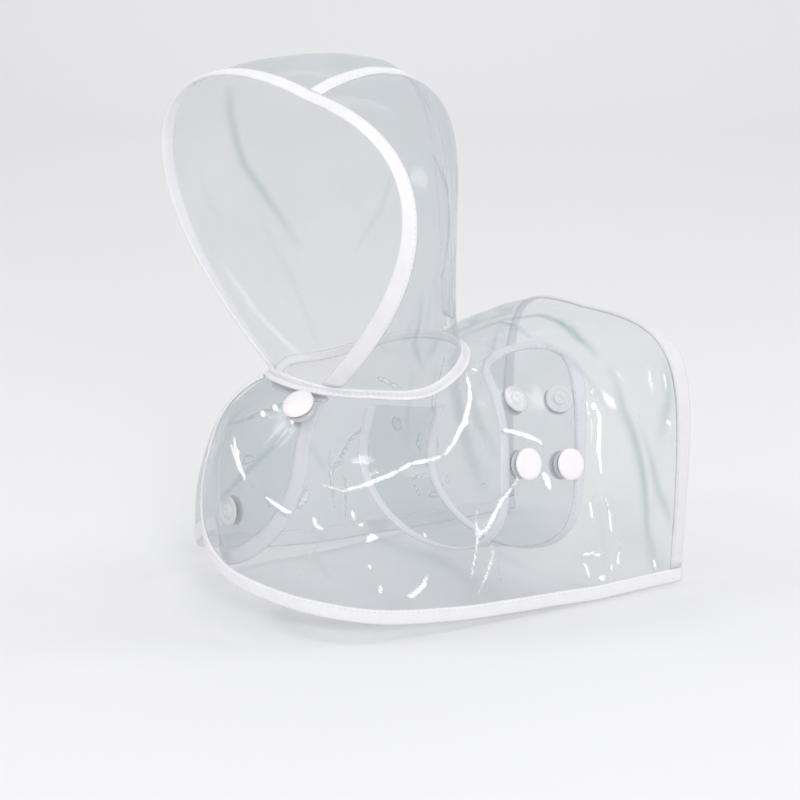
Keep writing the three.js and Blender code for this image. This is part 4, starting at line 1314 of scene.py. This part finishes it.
class RAINCOAT_OT_studs(bpy.types.Operator):
    """The press studs of white resin on the chest and the strap"""

    bl_idname = "raincoat.studs"
    bl_label = "Press studs"

    def execute(self, context):
        sizes = sizes_of(context)
        chest = place_on(cape_left, 1.9, 0.16)
        below = nearest_on(cape_right, chest["point"], 0.5, 0.16)
        depth = float(np.linalg.norm(chest["point"] - below["point"]))
        lower = nearest_on(cape_right, place_on(cape_left, 1.25, 0.76)["point"], 0.7, 0.76)
        inside = STRAP["inside"]
        # Where a stud is, how deep the inner film lies there, and how much lower its back sits
        closed = {
            "chest_upper": (chest, depth, 0.7),
            "strap_front": (strap_place(-12.5, 0.83), inside, 0),
            "strap_rear": (strap_place(12.2, 0.83), inside, 0),
        }
        opened = {
            "chest_lower": (lower, 0),
            "free_front": (strap_place(-12, 0.44), inside),
            "free_rear": (strap_place(11, 0.44), inside),
        }
        parts = []
        for name, (place, deep, lower_by) in closed.items():
            parts.append((f"{name}_cap", CAP, place, SEAT_UP + 0.1))
            parts.append((f"{name}_pair", PAIR, place, -deep / 2 - 1.2))
            parts.append((f"{name}_back", BACK, place, -deep + BEHIND - lower_by))
        for name, (place, deep) in opened.items():
            parts.append((f"{name}_half", DISC, place, -deep + SEAT_UP + 0.6))
            parts.append((f"{name}_back", BACK, place, -deep + BEHIND))
        for name, profile, place, offset in parts:
            piece = lathe(f"stud_{name}", rounded(profile), place, offset)
            dress(piece, [f"snap_{name}"], material("moulded_resin", moulded_resin, sizes))
        return {"FINISHED"}


# Stage: the camera's angle in degrees and its distance in metres, the picture's width, the focal length
# and the place of the origin in the picture in pixels, and each lamp's place, size, power and target

AZIMUTH, ELEVATION, DISTANCE = 58, 14, 0.9
PICTURE, FOCAL, ORIGIN_ACROSS, ORIGIN_DOWN = 800, 1875, 448, 340
LAMPS = (
    ("key", (-0.55, -1.1, 1.1), 0.45, 4.0, (0, 0, 0)),
    ("side", (1.3, -0.5, 0.55), 0.4, 7.0, (0, 0, 0)),
    ("rim", (0.6, 1.2, 1.0), 0.5, 4.0, (0, 0, 0)),
    ("top", (0.0, 0.0, 1.6), 1.0, 2.0, (0, 0, 0)),
    ("backdrop", (-1.4, 1.0, 2.2), 1.6, 12.0, (-2.9, 1.9, 0.3)),
)
WORLD_COLOR, WORLD_POWER = (0.97, 0.97, 0.98, 1), 0.76


def look_along(azimuth, elevation):
    """The camera's right, up and look directions at an azimuth and elevation in degrees."""
    a, e = azimuth * RADIANS, elevation * RADIANS
    right = np.array([np.cos(a), np.sin(a), 0])
    look = np.array([-np.sin(a) * np.cos(e), np.cos(a) * np.cos(e), -np.sin(e)])
    return right, np.cross(right, look), look


def pale_floor(name, sizes):
    """A matt floor with a hardly uneven colour."""
    n = Nodes(name)
    tint = n.mix_color(n.noise(3.0, 2, 0.5) * 0.06, rgba(sizes.floor_color), (1, 1, 1, 1))
    return n.finish(n.principled({"Base Color": tint, "Roughness": 0.85}))


def sweep(far=2200, radius=900, high=4500, half=5000):
    """A floor that turns up into a backdrop: straight, a quarter circle, straight."""
    t = np.linspace(0, np.pi / 2, 24)
    run = np.concatenate([[-4000], far + radius * np.sin(t), [far + radius]])
    rise = np.concatenate([[0], radius - radius * np.cos(t), [high]]) + CAD_BOX[0][2] * 1000 - 1
    right, _, look = look_along(AZIMUTH, 0)
    line = look * run[:, None] + np.array([0, 0, 1]) * rise[:, None]
    points = np.concatenate([line - right * half, line + right * half])
    a = np.arange(len(line) - 1)
    b = a + len(line)
    return mesh_object("floor", points, np.stack([a + 1, a, b, b + 1], -1))


def lamp(scene, name, place, size, power, target):
    """A round soft light, turned to its target."""
    light = bpy.data.lights.new(name, "AREA")
    light.shape, light.size, light.energy = "DISK", size, power
    holder = bpy.data.objects.new(name, light)
    scene.collection.objects.link(holder)
    holder.location = place
    holder.rotation_euler = (Vector(target) - holder.location).to_track_quat("-Z", "Y").to_euler()


def camera(scene):
    """The camera looks past the origin, which then has its own place in the picture."""
    right, up, look = look_along(AZIMUTH, ELEVATION)
    middle = PICTURE / 2
    ray = look + right * ((ORIGIN_ACROSS - middle) / FOCAL) + up * ((middle - ORIGIN_DOWN) / FOCAL)
    lens = bpy.data.cameras.new("camera")
    lens.sensor_width, lens.lens = 36, FOCAL * 36 / PICTURE
    eye = bpy.data.objects.new("camera", lens)
    scene.collection.objects.link(eye)
    eye.rotation_euler = Matrix(np.stack([right, up, -look], axis=1).tolist()).to_euler()
    eye.location = (-ray * DISTANCE).tolist()
    scene.camera = eye


class RAINCOAT_OT_stage(bpy.types.Operator):
    """The floor, the soft lights and the camera"""

    bl_idname = "raincoat.stage"
    bl_label = "Stage"

    def execute(self, context):
        scene = context.scene
        floor = sweep()
        floor.data.materials.append(material("pale_floor", pale_floor, sizes_of(context)))
        for row in LAMPS:
            lamp(scene, *row)
        scene.world = bpy.data.worlds.new("studio")
        scene.world.use_nodes = True
        sky = scene.world.node_tree.nodes["Background"]
        sky.inputs["Color"].default_value = WORLD_COLOR
        sky.inputs["Strength"].default_value = WORLD_POWER
        scene.view_settings.view_transform = "Standard"
        scene.cycles.transparent_max_bounces = 24
        scene.cycles.max_bounces = 5
        camera(scene)
        return {"FINISHED"}


PIECES = (RAINCOAT_OT_cape, RAINCOAT_OT_hood, RAINCOAT_OT_strap, RAINCOAT_OT_bindings, RAINCOAT_OT_studs,
          RAINCOAT_OT_stage)


class RAINCOAT_PT_panel(bpy.types.Panel):
    """Sizes, colours and pieces of the raincoat"""

    bl_idname = "RAINCOAT_PT_panel"
    bl_label = "Raincoat"
    bl_space_type = "VIEW_3D"
    bl_region_type = "UI"
    bl_category = "Raincoat"

    def draw(self, context):
        for name in RaincoatSizes.__annotations__:
            self.layout.prop(sizes_of(context), name)
        for piece in PIECES:
            self.layout.operator(piece.bl_idname)


CLASSES = (RaincoatSizes, *PIECES, RAINCOAT_PT_panel)


def register():
    for one in CLASSES:
        bpy.utils.register_class(one)
    bpy.types.Scene.raincoat = bpy.props.PointerProperty(type=RaincoatSizes)


def unregister():
    del bpy.types.Scene.raincoat
    for one in reversed(CLASSES):
        bpy.utils.unregister_class(one)


def main():
    register()
    bpy.ops.raincoat.stage()
    bpy.ops.raincoat.bindings()
    bpy.ops.raincoat.studs()
    bpy.ops.raincoat.cape()
    bpy.ops.raincoat.hood()
    bpy.ops.raincoat.strap()


if __name__ == "__main__":
    main()
